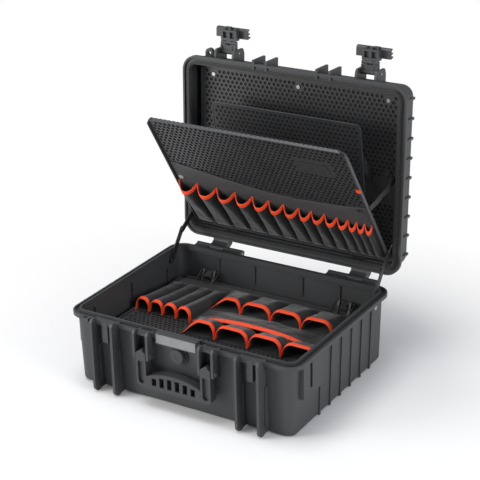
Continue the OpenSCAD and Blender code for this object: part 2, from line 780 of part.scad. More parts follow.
module hinge_knuckles(xs, r, hole) {
  difference() {
    mirrored() for (x = xs) {
      bar_x(x - 11, x + 11, 0, 0, r);
      translate([x - 11, 0, -sheet_t / 2]) cube([22, 9, sheet_t]);
    }
    mirrored() for (x = xs) bar_x(x - 12, x + 12, 0, 0, hole);
  }
}

module tool_board() {
  color([0.15, 0.15, 0.16]) on_board() {
    translate([0, 0, -sheet_t / 2]) rimmed_sheet([[-board_w0 / 2 + 18, 24], [board_w0 / 2 - 18, 24],
      [board_w1 / 2 - 18, board_len - 18], [-board_w1 / 2 + 18, board_len - 18]],
        18, sheet_t, sheet_rim, 3);
    hinge_knuckles([board_x], 3.5, board_pin_r + run_gap);
  }
}

// attach points of the board pockets, and the height and depth of each pocket
function hem_at() = [-222, -178, -131.5, -88.7, -48, -11, 23, 57, 85, 114.5, 142, 166, 185, 202, 219];
function hem_u() = board_u * hem_at();
function hem_s(i) = board_s * (146 - 32 * sin(70 * i / 13));
function hem_b(i) = board_u * (30 - 1.15 * i);

// arched pocket shell: X across, Y from the closed end to the mouth, Z out of the sheet
module pocket(w, b1, b0, l, s0, s1, r) {
  lean = atan2(b1 - b0, l);
  intersection() {
    difference() {
      pocket_solid(w, b1, lean, l, 0, r);
      pocket_solid(w, b1, lean, l, cloth_t, r);
    }
    translate([-w, s0, 0]) cube([2 * w, s1 - s0, 3 * w + 60]);
  }
  if (s0 == 0) intersection() {
    pocket_solid(w, b1, lean, l, 0, r);
    translate([-w, 0, 0]) cube([2 * w, cloth_t, 60]);
  }
}

// solid arch of width w, mouth height b, top corner radius r and the given lean, less a skin thickness
module pocket_solid(w, b, lean, l, skin, r) {
  translate([0, l, b - r]) rotate([lean, 0, 0]) translate([0, 2, 0]) rotate([90, 0, 0])
    linear_extrude(l + 20) union() {
    for (s = [-1, 1]) translate([s * (w / 2 - r), 0]) circle(r - skin);
    if (w > 2 * r + 0.1) translate([r - w / 2, 0]) square([w - 2 * r, r - skin]);
    translate([-w / 2 + skin, -b]) square([w - 2 * skin, b]);
  }
}

module board_pockets() {
  color([0.1, 0.1, 0.11]) on_board() translate([0, 0, sheet_t / 2]) for (i = [0:13]) {
    w = hem_u()[i + 1] - hem_u()[i] - 0.1;
    top = (hem_s(i) + hem_s(i + 1)) / 2 - 6;
    translate([(hem_u()[i] + hem_u()[i + 1]) / 2, 16, 0])
      pocket(w, max(hem_b(i), w / 2 + 2), 7 * board_u, top - 16, 0, top - 16 - hem_h, w / 2);
  }
}

module board_hem() {
  color([1, 0.35, 0.12]) on_board() translate([0, 0, sheet_t / 2]) for (i = [0:13]) {
    w = hem_u()[i + 1] - hem_u()[i] - 0.1;
    top = (hem_s(i) + hem_s(i + 1)) / 2 - 6;
    translate([(hem_u()[i] + hem_u()[i + 1]) / 2, 16, 0])
      pocket(w, max(hem_b(i), w / 2 + 2), 7 * board_u, top - 16, top - 16 - hem_h, top - 16, w / 2);
  }
}

module board_snaps() {
  color("silver") on_board() {
    translate([-211 * board_u, 166 * board_s, sheet_t / 2]) cylinder(r = 6, h = 2);
    translate([203 * board_u, 169 * board_s, sheet_t / 2]) cylinder(r = 6, h = 2);
    for (u = [-185, -95, 0, 95, 185]) translate([u * board_u, 12.5, sheet_t / 2])
      cylinder(r = 2.2, h = 1.5);
  }
}

module board_label() {
  color([0.14, 0.14, 0.15]) on_board() translate([0, 0, sheet_t / 2]) linear_extrude(1)
    poly_round([board_u * [108, 272], board_u * [166, 275], board_u * [162, 294], board_u * [108, 294]], 4);
}

module board_tab() {
  color([1, 0.35, 0.12]) on_board() translate([board_w1 / 2 - 5, board_len * 0.6686, sheet_t / 2 +
    sheet_rim])
    cube([12, 9, 1.6]);
}

// hinge brackets on the back panel that hold the board
module bracket(bx, z_axis, y_axis, r, hole, half) {
  difference() {
    union() {
      for (s = [-1, 1]) plate_x(bx + s * half - 1.5, bx + s * half + 1.5) union() {
        translate([y_axis, z_axis]) circle(r);
        translate([y_axis - r, z_axis]) square([2 * r, panel_z - z_axis]);
      }
      translate([bx - half - 1.5, y_axis - r - 2, panel_z - 1.5]) cube([2 * half + 3, 2 * r + 2, 1.5]);
    }
    bar_x(bx - half - 3, bx + half + 3, y_axis, z_axis, hole);
  }
}

module board_brackets() {
  color([0.13, 0.13, 0.14]) open_lid() mirrored()
    bracket(board_x, board_z, board_y, 4, board_pin_r + run_gap, 13);
}

module board_hinge_pins() {
  color("silver") open_lid() mirrored()
    bar_x(board_x - 15.5, board_x + 15.5, board_y, board_z, board_pin_r);
}

module doc_brackets() {
  color([0.13, 0.13, 0.14]) open_lid() mirrored() bracket(doc_x, doc_z, doc_y, 3, doc_pin_r + run_gap, 13);
}

module doc_hinge_pins() {
  color("silver") open_lid() mirrored() bar_x(doc_x - 15.5, doc_x + 15.5, doc_y, doc_z, doc_pin_r);
}

module doc_board() {
  color([0.13, 0.13, 0.14]) on_doc() {
    translate([0, 0, -1]) rimmed_sheet([[-doc_w / 2 + 12, 17], [doc_w / 2 - 12, 17],
      [doc_w / 2 - 12, doc_len - 12], [-doc_w / 2 + 12, doc_len - 12]], 12, 2, 1, 3);
    difference() {
      mirrored() {
        bar_x(doc_x - 11, doc_x + 11, 0, 0, 2.2);
        translate([doc_x - 11, 0, -1]) cube([22, 8, 2]);
      }
      mirrored() bar_x(doc_x - 12, doc_x + 12, 0, 0, doc_pin_r + run_gap);
    }
  }
}

// place on the leaning tool board or document board, as Y and Z of the shut lid
function board_yz(s) = [board_y - s * cos(board_tilt), board_z - s * sin(board_tilt)];
function doc_yz(s) = [doc_y - s * cos(doc_tilt), doc_z - s * sin(doc_tilt)];

// webbing from the back panel to the edge of the tool board
module limit_strap() {
  color([0.08, 0.08, 0.08]) open_lid() plate_x(board_w1 / 2 + 4.3, board_w1 / 2 + 5.5)
    polygon([[4.5, panel_z - 0.2], [-9.5, panel_z - 0.2],
      board_yz(board_len * 0.524), board_yz(board_len * 0.4844)]);
}

module limit_strap_l() {
  mirror([1, 0, 0]) limit_strap();
}

module limit_strap_r() {
  limit_strap();
}

module doc_strap() {
  color([0.08, 0.08, 0.08]) open_lid() plate_x(doc_w / 2 + 0.3, doc_w / 2 + 1.3)
    polygon([[-half_d + 222, panel_z - 0.2], [-half_d + 188, panel_z - 0.2], doc_yz(doc_len * 0.7473),
      doc_yz(doc_len * 0.6245)]);
}

module doc_strap_l() {
  mirror([1, 0, 0]) doc_strap();
}

module doc_strap_r() {
  doc_strap();
}

module tray() {
  color([0.15, 0.15, 0.16]) translate([0, tray_y, tray_z])
    rimmed_sheet([[-tray_w / 2 + 20, -tray_d / 2 + 20],
    [tray_w / 2 - 20, -tray_d / 2 + 20], [tray_w / 2 - 20, tray_d / 2 - 20],
      [-tray_w / 2 + 20, tray_d / 2 - 20]],
    20, sheet_t, sheet_rim, 3);
}

// pocket lying on the tray with its mouth to the front at y
module tray_pocket(x, y, w, b1, b0, l, s0, s1, r) {
  translate([x, y + l, tray_top]) rotate([0, 0, 180]) pocket(w, b1, b0, l, s0, s1, r);
}

module front_row(s0, s1) {
  for (k = [0:3]) tray_pocket((-42.5 + 75 * k) * row_x, -59 * row_y, 75.3 * row_x, 36 * row_x, 21 * row_x,
    48 * row_y, s0, s1, mouth_r * row_x);
}

module side_row(s0, s1) {
  for (k = [0:3]) tray_pocket((-205.5 + 33 * k) * row_x, -18 * row_y, 33.3 * row_x, 31 * row_x, 8 * row_x,
    150 * row_y, s0, s1, 14 * row_x);
}

module rear_row(s0, s1) {
  for (k = [0:3]) tray_pocket((-54 + 70 * k) * row_x, 62 * row_y, 70.2 * row_x, 32 * row_x, 12 * row_x,
    84 * row_y, s0, s1, mouth_r * row_x);
}

module tray_pockets_front() {
  color([0.1, 0.1, 0.11]) front_row(0, 48 * row_y - hem_h);
}

module tray_pockets_side() {
  color([0.1, 0.1, 0.11]) side_row(0, 150 * row_y - hem_h);
}

module tray_pockets_rear() {
  color([0.1, 0.1, 0.11]) rear_row(0, 84 * row_y - hem_h);
}

// shallow arch between the two wide rows, mouth to the front
module flat_arch(r, sag, half, y0, y1) {
  translate([52.5 * row_x, y1, tray_top + sag - r]) rotate([90, 0, 0]) linear_extrude(y1 - y0)
    difference() {
    circle(r, $fn = 96);
    circle(r - cloth_t, $fn = 96);
    translate([-r - 1, -2 * r]) square([2 * r + 2, 3 * r - sag]);
    for (s = [-1, 1]) translate([s * (half + 20) - 20, -r]) square([40, 3 * r]);
  }
}

module tray_pocket_flat() {
  color([0.1, 0.1, 0.11]) {
    flat_arch(453 * row_x, 23.4 * row_x, 141.5 * row_x, -8 * row_y + hem_h, 56 * row_y);
    translate([-86 * row_x, 56 * row_y, tray_top]) cube([277 * row_x, cloth_t, 10 * row_x]);
  }
}

module tray_hems() {
  color([1, 0.35, 0.12]) {
    front_row(48 * row_y - hem_h, 48 * row_y);
    side_row(150 * row_y - hem_h, 150 * row_y);
    rear_row(84 * row_y - hem_h, 84 * row_y);
    flat_arch(453 * row_x, 23.4 * row_x, 141.5 * row_x, -8 * row_y, -8 * row_y + hem_h);
  }
}

// wire clip at the back of the tray, hinged in two brackets
module tray_clip() {
  bar_x(-clip_half - 1, clip_half + 1, 0, 0, 1.8);
  rotate([clip_lean, 0, 0]) {
    for (s = [-1, 1]) translate([s * clip_half, 0, 0]) rotate([90, 0, 0]) cylinder(r = 1.6, h = clip_leg);
    bar_x(-clip_half, clip_half, -14, 0, 1.5);
    translate([-7, -14, -0.8]) cube([14, 14, 1.6]);
  }
}

module tray_clip_l() {
  color([0.2, 0.2, 0.2]) translate([-clip_x, clip_y, clip_z]) tray_clip();
}

module tray_clip_r() {
  color([0.2, 0.2, 0.2]) translate([clip_x, clip_y, clip_z]) tray_clip();
}

module clip_brackets() {
  color([0.15, 0.15, 0.16]) mirrored() difference() {
    for (s = [-1, 1]) plate_x(clip_x + s * 13 - 2, clip_x + s * 13 + 2) union() {
      translate([clip_y, clip_z]) circle(4);
      polygon([[clip_y - 16, tray_top], [clip_y - 11.7, tray_top],
        [clip_y - 11.7, tray_top + sheet_rim + 0.6],
        [clip_y - 7, tray_top + sheet_rim + 0.6], [clip_y + 3.6, clip_z - 1.7],
          [clip_y - 3.6, clip_z + 1.7]]);
    }
    bar_x(clip_x - 20, clip_x + 20, clip_y, clip_z, 1.8 + run_gap);
  }
}

base_shell();
hinge_pins();
name_plate();
valve_body();
valve_cap();
handle();
handle_pins();
lid_shell();
lid_seal();
back_panel();
panel_screws();
latch_pins();
latch_link_l();
latch_link_r();
latch_lever_l();
latch_lever_r();
lever_pin_l();
lever_pin_r();
stay_lower_l();
stay_lower_r();
stay_upper_l();
stay_upper_r();
stay_base_rivets();
stay_lid_pins();
tool_board();
board_pockets();
board_hem();
board_snaps();
board_label();
board_tab();
board_brackets();
board_hinge_pins();
limit_strap_l();
limit_strap_r();
doc_board();
doc_brackets();
doc_hinge_pins();
doc_strap_l();
doc_strap_r();
tray();
tray_pockets_front();
tray_pocket_flat();
tray_pockets_side();
tray_pockets_rear();
tray_hems();
tray_clip_l();
tray_clip_r();
clip_brackets();
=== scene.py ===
"""Looks for a hard tool case: boards, fabric pockets, straps, finishes, floor, light and camera."""
import json
import math

import bpy
from mathutils import Matrix, Vector, noise


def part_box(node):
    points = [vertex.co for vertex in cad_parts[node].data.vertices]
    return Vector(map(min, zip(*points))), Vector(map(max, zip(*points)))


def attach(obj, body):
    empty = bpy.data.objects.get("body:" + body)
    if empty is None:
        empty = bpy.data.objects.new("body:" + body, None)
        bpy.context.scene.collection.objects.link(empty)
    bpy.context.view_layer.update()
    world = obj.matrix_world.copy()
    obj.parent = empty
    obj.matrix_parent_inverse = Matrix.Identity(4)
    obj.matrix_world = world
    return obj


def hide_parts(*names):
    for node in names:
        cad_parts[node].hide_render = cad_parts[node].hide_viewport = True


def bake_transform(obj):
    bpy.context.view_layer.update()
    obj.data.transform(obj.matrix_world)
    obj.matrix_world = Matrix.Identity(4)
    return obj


bl_info = {
    "name": "Hard Tool Case",
    "version": (1, 0, 0),
    "blender": (4, 5, 0),
    "location": "View3D > Sidebar > Tool Case",
    "description": "Dresses the packed tool case with boards, fabric pockets, straps and finishes",
    "category": "Object",
}

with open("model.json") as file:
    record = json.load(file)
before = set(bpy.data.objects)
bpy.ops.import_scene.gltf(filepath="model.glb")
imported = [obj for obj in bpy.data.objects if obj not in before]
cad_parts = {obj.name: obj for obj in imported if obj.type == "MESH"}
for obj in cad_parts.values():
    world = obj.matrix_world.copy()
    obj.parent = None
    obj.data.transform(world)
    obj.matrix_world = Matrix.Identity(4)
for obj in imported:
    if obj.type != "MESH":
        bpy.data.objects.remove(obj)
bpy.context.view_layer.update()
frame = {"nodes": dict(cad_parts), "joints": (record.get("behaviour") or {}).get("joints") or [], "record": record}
joints = {j["name"]: j for j in frame["joints"]}
MM = 0.001

# ---------------------------------------------------------------- places taken from the frame

OPEN_ANGLE = -joints["lid_hinge"]["range_deg"][0]
BOARD_TILT = -joints["tool_board_tilt"]["range_deg"][0]
DOC_TILT = -joints["doc_board_tilt"]["range_deg"][0]
BOARD_HINGE = Vector(joints["tool_board_tilt"]["pos_m"])
DOC_HINGE = Vector(joints["doc_board_tilt"]["pos_m"])
LID_HINGE = Vector(joints["lid_hinge"]["pos_m"])


def leaning(origin, lean_deg):
    """Axes of a sheet that leans lean_deg forward: X across, Y up the sheet, Z out of its front."""
    a = math.radians(lean_deg)
    up = Vector((0, -math.sin(a), math.cos(a)))
    out = Vector((0, -math.cos(a), -math.sin(a)))
    return Matrix.Translation(origin) @ Matrix((Vector((1, 0, 0)), up, out)).transposed().to_4x4()


BOARD_AXES = leaning(BOARD_HINGE, BOARD_TILT - (OPEN_ANGLE - 90))
DOC_AXES = leaning(DOC_HINGE, DOC_TILT - (OPEN_ANGLE - 90))
# turns a place on the shut lid to where it is with the lid open
LID_TURN = (Matrix.Translation(LID_HINGE) @ Matrix.Rotation(math.radians(-OPEN_ANGLE), 4, "X")
            @ Matrix.Translation(-LID_HINGE))

# lengths that the frame doesn't state
SHEET = 2.4 * MM  # thickness of the tool board, the back panel and the tray
EDGE = 9 * MM  # plain edge round their holes
RIM_WIDTH = 3 * MM
BARREL_LEN = 22 * MM
BOARD_LEN = 353 * MM
DOC_SHEET = 2.0 * MM
DOC_W = 344 * MM
DOC_LEN = 277 * MM
PANEL_X = 232 * MM
PANEL_Z = 191.7 * MM
HALF_D = 197.5 * MM
PANEL_AXES = leaning(LID_TURN @ Vector((0, HALF_D, PANEL_Z + SHEET / 2)), 90 - OPEN_ANGLE)
CLOTH_T = 0.9 * MM
HEM_T = 0.3 * MM

# panel screws, across and up the panel, and seams of the board's pockets, across; millimetres
SCREWS = ((-202, 352), (0, 352), (202, 352), (-205, 200), (205, 200), (-202, 43), (202, 43),
          (0, 60))
HEM_U = (-222, -178, -131.5, -88.7, -48, -11, 23, 57, 85, 114.5, 142, 166, 185, 202, 219)

# camera fitted to the photograph: angles in degrees, focal length in pixels of its width
CAMERA_PLACE = (1.3711, -2.1881, 1.3813)
CAMERA_ANGLES = (31.632, 23.126, -1.377)
FOCAL_PX = 1448.5
PHOTO_WIDTH = 480
SENSOR = 36.0

# ---------------------------------------------------------------- shader network helpers


class Signal:
    """The output of a material node; Python sums on it add Math nodes."""

    def __init__(self, net, socket):
        self.net = net
        self.socket = socket

    def _math(self, operation, *values):
        return self.net.add("ShaderNodeMath", {"operation": operation}, list(values))

    def __add__(self, other):
        return self._math("ADD", self, other)

    def __radd__(self, other):
        return self._math("ADD", other, self)

    def __sub__(self, other):
        return self._math("SUBTRACT", self, other)

    def __rsub__(self, other):
        return self._math("SUBTRACT", other, self)

    def __mul__(self, other):
        return self._math("MULTIPLY", self, other)

    def __pow__(self, other):
        return self._math("POWER", self, other)

    def sine(self):
        return self._math("SINE", self)

    def size(self):
        return self._math("ABSOLUTE", self)

    def above(self, limit):
        return self._math("GREATER_THAN", self, limit)

    def clamped(self):
        return self.net.add("ShaderNodeClamp", {}, [self, 0.0, 1.0])


class Net:
    """A material under construction."""

    def __init__(self, name):
        self.material = bpy.data.materials.new(name)
        self.material.use_nodes = True
        self.tree = self.material.node_tree
        self.tree.nodes.clear()
        self.out = self.tree.nodes.new("ShaderNodeOutputMaterial")

    def add(self, kind, settings=None, inputs=None, output=0):
        node = self.tree.nodes.new(kind)
        for key, value in (settings or {}).items():
            setattr(node, key, value)
        items = inputs.items() if isinstance(inputs, dict) else enumerate(inputs or [])
        for key, value in items:
            self.feed(node, key, value)
        return Signal(self, node.outputs[output])

    def feed(self, node, key, value):
        """Links a signal to a node's input, or sets the input to a plain value."""
        if isinstance(value, Signal):
            self.tree.links.new(value.socket, node.inputs[key])
        else:
            node.inputs[key].default_value = value

    def place(self):
        return self.add("ShaderNodeTexCoord", output="Object")

    def uv(self):
        return self.add("ShaderNodeTexCoord", output="UV")

    def stretched(self, vector, scale):
        return self.add("ShaderNodeMapping", {}, {"Vector": vector, "Scale": scale})

    def speckle(self, vector, scale, detail=4.0, rough=0.55):
        look = {"Vector": vector, "Scale": scale, "Detail": detail, "Roughness": rough}
        return self.add("ShaderNodeTexNoise", {}, look)

    def cells(self, vector, scale):
        return self.add("ShaderNodeTexVoronoi", {}, {"Vector": vector, "Scale": scale})

    def parts(self, vector):
        node = self.tree.nodes.new("ShaderNodeSeparateXYZ")
        self.tree.links.new(vector.socket, node.inputs[0])
        return [Signal(self, node.outputs[k]) for k in range(3)]

    def blend(self, factor, low, high):
        """Mixes two colours, each a signal or three numbers."""
        node = self.tree.nodes.new("ShaderNodeMix")
        node.data_type = "RGBA"
        for key, value in ((0, factor), (6, low), (7, high)):
            self.feed(node, key, (*value, 1) if isinstance(value, tuple) else value)
        return Signal(self, node.outputs[2])

    def bump(self, height, strength, distance):
        relief = {"Strength": strength, "Distance": distance, "Height": height}
        return self.add("ShaderNodeBump", {}, relief)

    def finish(self, colour, roughness, normal, **fixed):
        node = self.tree.nodes.new("ShaderNodeBsdfPrincipled")
        look = {"Base Color": colour, "Roughness": roughness, "Normal": normal, **fixed}
        for key, value in look.items():
            self.feed(node, key.replace("_", " "), value)
        self.tree.links.new(node.outputs[0], self.out.inputs[0])
        return self.material


# ---------------------------------------------------------------- finishes


def shade(colour, gain, lift=0.0):
    """A colour made lighter or darker."""
    return tuple(min(1, c * gain + lift) for c in colour)


def moulded_polymer(name, colour, rough=0.5, grain=1.0):
    """Satin moulded plastic: fine leathery grain, faint cloudy tone and rub marks."""
    net = Net(name)
    at = net.place()
    cloud = net.speckle(at, 9.0, 3.0)
    fine = net.speckle(at, 900.0, 3.0, 0.6)
    pits = net.cells(at, 620.0)
    rub = net.speckle(net.stretched(at, (14.0, 14.0, 60.0)), 6.0, 6.0, 0.7)
    mark = ((rub - 0.62) * 6.0).clamped()
    tone = net.blend(cloud, shade(colour, 0.86), shade(colour, 1.35, 0.004))
    tone = net.blend(mark * 0.25, tone, shade(colour, 1.9, 0.01))
    roughness = (cloud * 0.14 + (rough - 0.07) - mark * 0.08 + fine * 0.06).clamped()
    normal = net.bump(pits * 0.6 + fine * 0.4, 0.22 * grain, 0.0004)
    return net.finish(tone, roughness, normal, Specular_IOR_Level=0.5)


def woven_cloth(name, colour, pitch=0.0011, sheen=0.35):
    """Plain-woven nylon: over-and-under threads on the piece's own UV, with soft tonal drift."""
    net = Net(name)
    u, v, _ = net.parts(net.uv())
    k = 2 * math.pi / pitch
    warp = (u * k).sine()
    weft = (v * k).sine()
    over = ((u * (k * 0.5)).sine() * (v * (k * 0.5)).sine()).above(0.0)
    thread = over * warp.size() + (1.0 - over) * weft.size()
    drift = net.speckle(net.place(), 26.0, 5.0, 0.6)
    fuzz = net.speckle(net.place(), 700.0, 2.0)
    tone = net.blend(thread * 0.55 + drift * 0.3, shade(colour, 0.6), shade(colour, 1.9, 0.006))
    roughness = (drift * 0.18 + 0.5 + fuzz * 0.12).clamped()
    normal = net.bump(thread * 0.7 + fuzz * 0.3, 0.35, 0.0003)
    return net.finish(tone, roughness, normal, Sheen_Weight=sheen, Sheen_Roughness=0.4)


def ribbed_tape(name, colour, pitch, gain):
    """Woven tape: cross ribs on the piece's own UV, with soft tonal drift."""
    net = Net(name)
    u, _, _ = net.parts(net.uv())
    ribs = (u * (2 * math.pi / pitch)).sine() * 0.5 + 0.5
    fuzz = net.speckle(net.place(), 900.0, 3.0)
    drift = net.speckle(net.place(), 30.0, 3.0)
    tone = net.blend(ribs * 0.35 + drift * 0.45, shade(colour, 0.72), shade(colour, gain, 0.004))
    roughness = (fuzz * 0.2 + 0.5).clamped()
    normal = net.bump(ribs * 0.6 + fuzz * 0.4, 0.4, 0.0003)
    return net.finish(tone, roughness, normal, Sheen_Weight=0.05, Sheen_Roughness=0.5)


def bright_steel(name, colour, rough=0.3):
    """Bright steel with fine drawing lines and a slight haze."""
    net = Net(name)
    at = net.place()
    lines = net.speckle(net.stretched(at, (60.0, 900.0, 900.0)), 3.0, 4.0)
    haze = net.speckle(at, 60.0, 4.0)
    tone = net.blend(haze, shade(colour, 0.82), shade(colour, 1.1))
    roughness = (lines * 0.18 + rough - 0.05 + haze * 0.08).clamped()
    return net.finish(tone, roughness, net.bump(lines, 0.12, 0.0002), Metallic=1.0)


def dark_coated_steel(name, colour):
    """Black coated steel with bright rubbed flecks."""
    net = Net(name)
    at = net.place()
    scuff = net.speckle(net.stretched(at, (30.0, 30.0, 110.0)), 4.0, 7.0, 0.75)
    worn = ((scuff - 0.66) * 9.0).clamped()
    tone = net.blend(worn, colour, (0.32, 0.32, 0.31))
    roughness = (0.42 + net.speckle(at, 200.0, 3.0) * 0.14 - worn * 0.12).clamped()
    normal = net.bump(net.speckle(at, 1200.0, 2.0), 0.15, 0.0002)
    return net.finish(tone, roughness, normal, Metallic=0.25)


def rubber_and_hole_shade(name, colour):
    """Soft black rubber with a dusty bloom; also the finish of the near-black sheet of painted shade behind the
    holes of the boards.
    """
    net = Net(name)
    at = net.place()
    dust = net.speckle(at, 45.0, 5.0, 0.65)
    tone = net.blend(dust * 0.6, colour, shade(colour, 2.4, 0.01))
    normal = net.bump(net.speckle(at, 800.0, 2.0), 0.18, 0.0003)
    return net.finish(tone, (dust * 0.2 + 0.62).clamped(), normal)


FINISH = {}


def finishes():
    """One material for each of the record's material slots."""
    if FINISH:
        return FINISH
    tone = bpy.context.scene.case_colours
    FINISH.update(
        shell=moulded_polymer("shell_polymer", tuple(tone.shell), 0.5, 1.0),
        dark_plastic=moulded_polymer("fitting_polymer", tuple(tone.fitting), 0.44, 0.7),
        sheet=moulded_polymer("sheet_polymer", tuple(tone.sheet), 0.4, 0.45),
        bare_metal=bright_steel("bright_steel", (0.42, 0.42, 0.41), 0.3),
        plate=bright_steel("bare_plate", (0.3, 0.305, 0.31), 0.34),
        dark_steel=dark_coated_steel("stay_steel", (0.018, 0.018, 0.019)),
        seal=rubber_and_hole_shade("rim_rubber", (0.012, 0.012, 0.012)),
        cloth=woven_cloth("pocket_cloth", tuple(tone.cloth)),
        webbing=ribbed_tape("strap_webbing", (0.006, 0.006, 0.0065), 0.0022, 2.2),
        hem=ribbed_tape("hem_tape", tuple(tone.hem), 0.0014, 1.12),
        # painted shade: the near-black finish of the sheet behind the boards' holes
        lining=rubber_and_hole_shade("painted_hole_shade", (0.006, 0.006, 0.006)),
    )
    return FINISH


# ---------------------------------------------------------------- modelling helpers


def deselect():
    bpy.ops.object.select_all(action="DESELECT")


def active():
    return bpy.context.view_layer.objects.active


def edit():
    bpy.ops.object.mode_set(mode="EDIT")


def leave():
    bpy.ops.object.mode_set(mode="OBJECT")


def edit_all():
    """Enters edit mode with the whole mesh selected."""
    edit()
    bpy.ops.mesh.select_all(action="SELECT")


def pick_faces(obj, test):
    """Selects the faces of obj whose centre and normal pass the test; ends in edit mode."""
    if obj.mode != "OBJECT":
        leave()
    mesh = obj.data
    for group in (mesh.vertices, mesh.edges, mesh.polygons):
        for item in group:
            item.select = False
    bpy.context.tool_settings.mesh_select_mode = (False, False, True)
    for item in mesh.polygons:
        item.select = bool(test(item.center, item.normal))
    edit()


def modifier(obj, kind, **settings):
    """Adds a modifier and applies it."""
    m = obj.modifiers.new(kind.title(), kind)
    for key, value in settings.items():
        setattr(m, key, value)
    bpy.context.view_layer.objects.active = obj
    bpy.ops.object.modifier_apply(modifier=m.name)


def smooth(obj, degrees):
    deselect()
    obj.select_set(True)
    bpy.context.view_layer.objects.active = obj
    bpy.ops.object.shade_smooth_by_angle(angle=math.radians(degrees))


def dress(obj, name, slot, body, axes=None, nodes=()):
    """Names a finished piece, puts its place in its mesh, and gives it its finish and its body."""
    obj.name = obj.data.name = name
    obj.data.transform(obj.matrix_world)
    obj.matrix_world = Matrix.Identity(4)
    if axes is not None:
        obj.data.transform(axes)
    # the sheet of painted shade behind the holes keeps its own near-black finish
    hole_shaded = [m for m in obj.data.materials if m is not None and m.name == "painted_hole_shade"]
    if hole_shaded:
        for k, m in enumerate(obj.data.materials):
            if m is not hole_shaded[0]:
                obj.data.materials[k] = finishes()[slot]
    else:
        obj.data.materials.clear()
        obj.data.materials.append(finishes()[slot])
    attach(obj, body)
    for node in nodes:
        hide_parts(node)
    return obj


def join(objects):
    deselect()
    for o in objects:
        o.select_set(True)
    bpy.context.view_layer.objects.active = objects[0]
    bpy.ops.object.join()
    return active()


# ---------------------------------------------------------------- perforated sheets


def honeycomb(width, length, start, hole_pitch, web, thick, inside, pierced):
    """A sheet of six-sided cells inside the outline, with the pierced ones opened."""
    deselect()
    p = hole_pitch
    row = p * math.sqrt(3) / 2
    columns = int(width / p) + 2
    rows = int(length / (2 * row)) + 2
    x0 = -columns * p / 2
    cells = []
    for x, y in ((x0, start), (x0 + p / 2, start + row)):
        bpy.ops.mesh.primitive_circle_add(vertices=6, radius=p / math.sqrt(3), fill_type="NGON",
                                          location=(x, y, 0))
        cells.append(active())
    sheet = join(cells)
    bpy.ops.object.transform_apply(location=True, rotation=True, scale=True)
    for count, step in ((columns, (p, 0, 0)), (rows, (0, 2 * row, 0))):
        modifier(sheet, "ARRAY", count=count, use_relative_offset=False, use_constant_offset=True,
                 constant_offset_displace=step)
    edit_all()
    bpy.ops.mesh.remove_doubles(threshold=p * 0.02)
    pick_faces(sheet, lambda c, n: not inside(c.x, c.y))
    bpy.ops.mesh.delete(type="FACE")
    pick_faces(sheet, lambda c, n: pierced(c.x, c.y))
    bpy.ops.mesh.inset(thickness=web / 2, use_individual=True)
    bpy.ops.mesh.delete(type="FACE")
    leave()
    modifier(sheet, "SOLIDIFY", thickness=thick, offset=0, use_even_offset=True)
    return sheet


def rounded_plate(corners, radius):
    """A flat plate with four rounded corners, given anticlockwise from the lower left."""
    deselect()
    bpy.ops.mesh.primitive_plane_add(size=1, location=(0, 0, 0))
    plate = active()
    order = [(-0.5, -0.5), (0.5, -0.5), (0.5, 0.5), (-0.5, 0.5)]
    for v in plate.data.vertices:
        k = min(range(4), key=lambda i: math.hypot(v.co.x - order[i][0], v.co.y - order[i][1]))
        v.co = (*corners[k], 0)
    edit_all()
    bpy.ops.mesh.bevel(offset=radius, segments=7, affect="VERTICES", offset_type="OFFSET")
    leave()
    return plate


def rounded_band(corners, radius, band, thick, rim):
    """A flat frame with rounded corners and a raised rim along its edge."""
    ring = rounded_plate(corners, radius)
    edit_all()
    bpy.ops.mesh.inset(thickness=RIM_WIDTH)
    bpy.ops.mesh.inset(thickness=band - RIM_WIDTH)
    bpy.ops.mesh.delete(type="FACE")
    leave()
    modifier(ring, "SOLIDIFY", thickness=thick, offset=0)
    top = thick / 2 - 1e-5
    edge = outline_test(corners, RIM_WIDTH * 0.95)
    pick_faces(ring, lambda c, n: n.z > 0.9 and c.z > top - 1e-4 and not edge(c.x, c.y))
    bpy.ops.mesh.extrude_region_move(TRANSFORM_OT_translate={"value": (0, 0, rim)})
    leave()
    modifier(ring, "BEVEL", width=0.0006, segments=2, limit_method="ANGLE",
             angle_limit=math.radians(40))
    return ring


def outline_test(corners, inset):
    """A test that says whether x, y lies inside the straight-sided outline, inset by a margin."""
    sides = []
    for i, (x0, y0) in enumerate(corners):
        x1, y1 = corners[(i + 1) % len(corners)]
        length = math.hypot(x1 - x0, y1 - y0)
        sides.append((x0, y0, -(y1 - y0) / length, (x1 - x0) / length))
    return lambda x, y: all((x - x0) * nx + (y - y0) * ny > inset for x0, y0, nx, ny in sides)


def corner_cut(corners, radius, inset):
    """Like outline_test, but with rounded corners."""
    straight = outline_test(corners, inset)
    deep = outline_test(corners, radius)

    def test(x, y):
        if not straight(x, y):
            return False
        if deep(x, y):
            return True
        near = min(corners, key=lambda c: math.hypot(c[0] - x, c[1] - y))
        cx = near[0] - math.copysign(radius, near[0])
        mid = sum(c[1] for c in corners) / len(corners)
        cy = near[1] + (radius if near[1] < mid else -radius)
        if (x - cx) * (near[0] - cx) <= 0 or (y - cy) * (near[1] - cy) <= 0:
            return True
        return math.hypot(x - cx, y - cy) < radius - inset

    return test


def arc_floor(x):
    """Height above the board's hinge line where its holes begin: a line that sags to the right."""
    marks = ((-213, 216), (-179, 208), (-141, 200), (-81, 186), (-8, 173), (71, 169), (162, 175),
             (223, 183))
    u = min(max(x / MM, marks[0][0]), marks[-1][0])
    for (u0, v0), (u1, v1) in zip(marks, marks[1:]):
        if u <= u1:
            return (v0 + (v1 - v0) * (u - u0) / (u1 - u0)) * MM
    return marks[-1][1] * MM


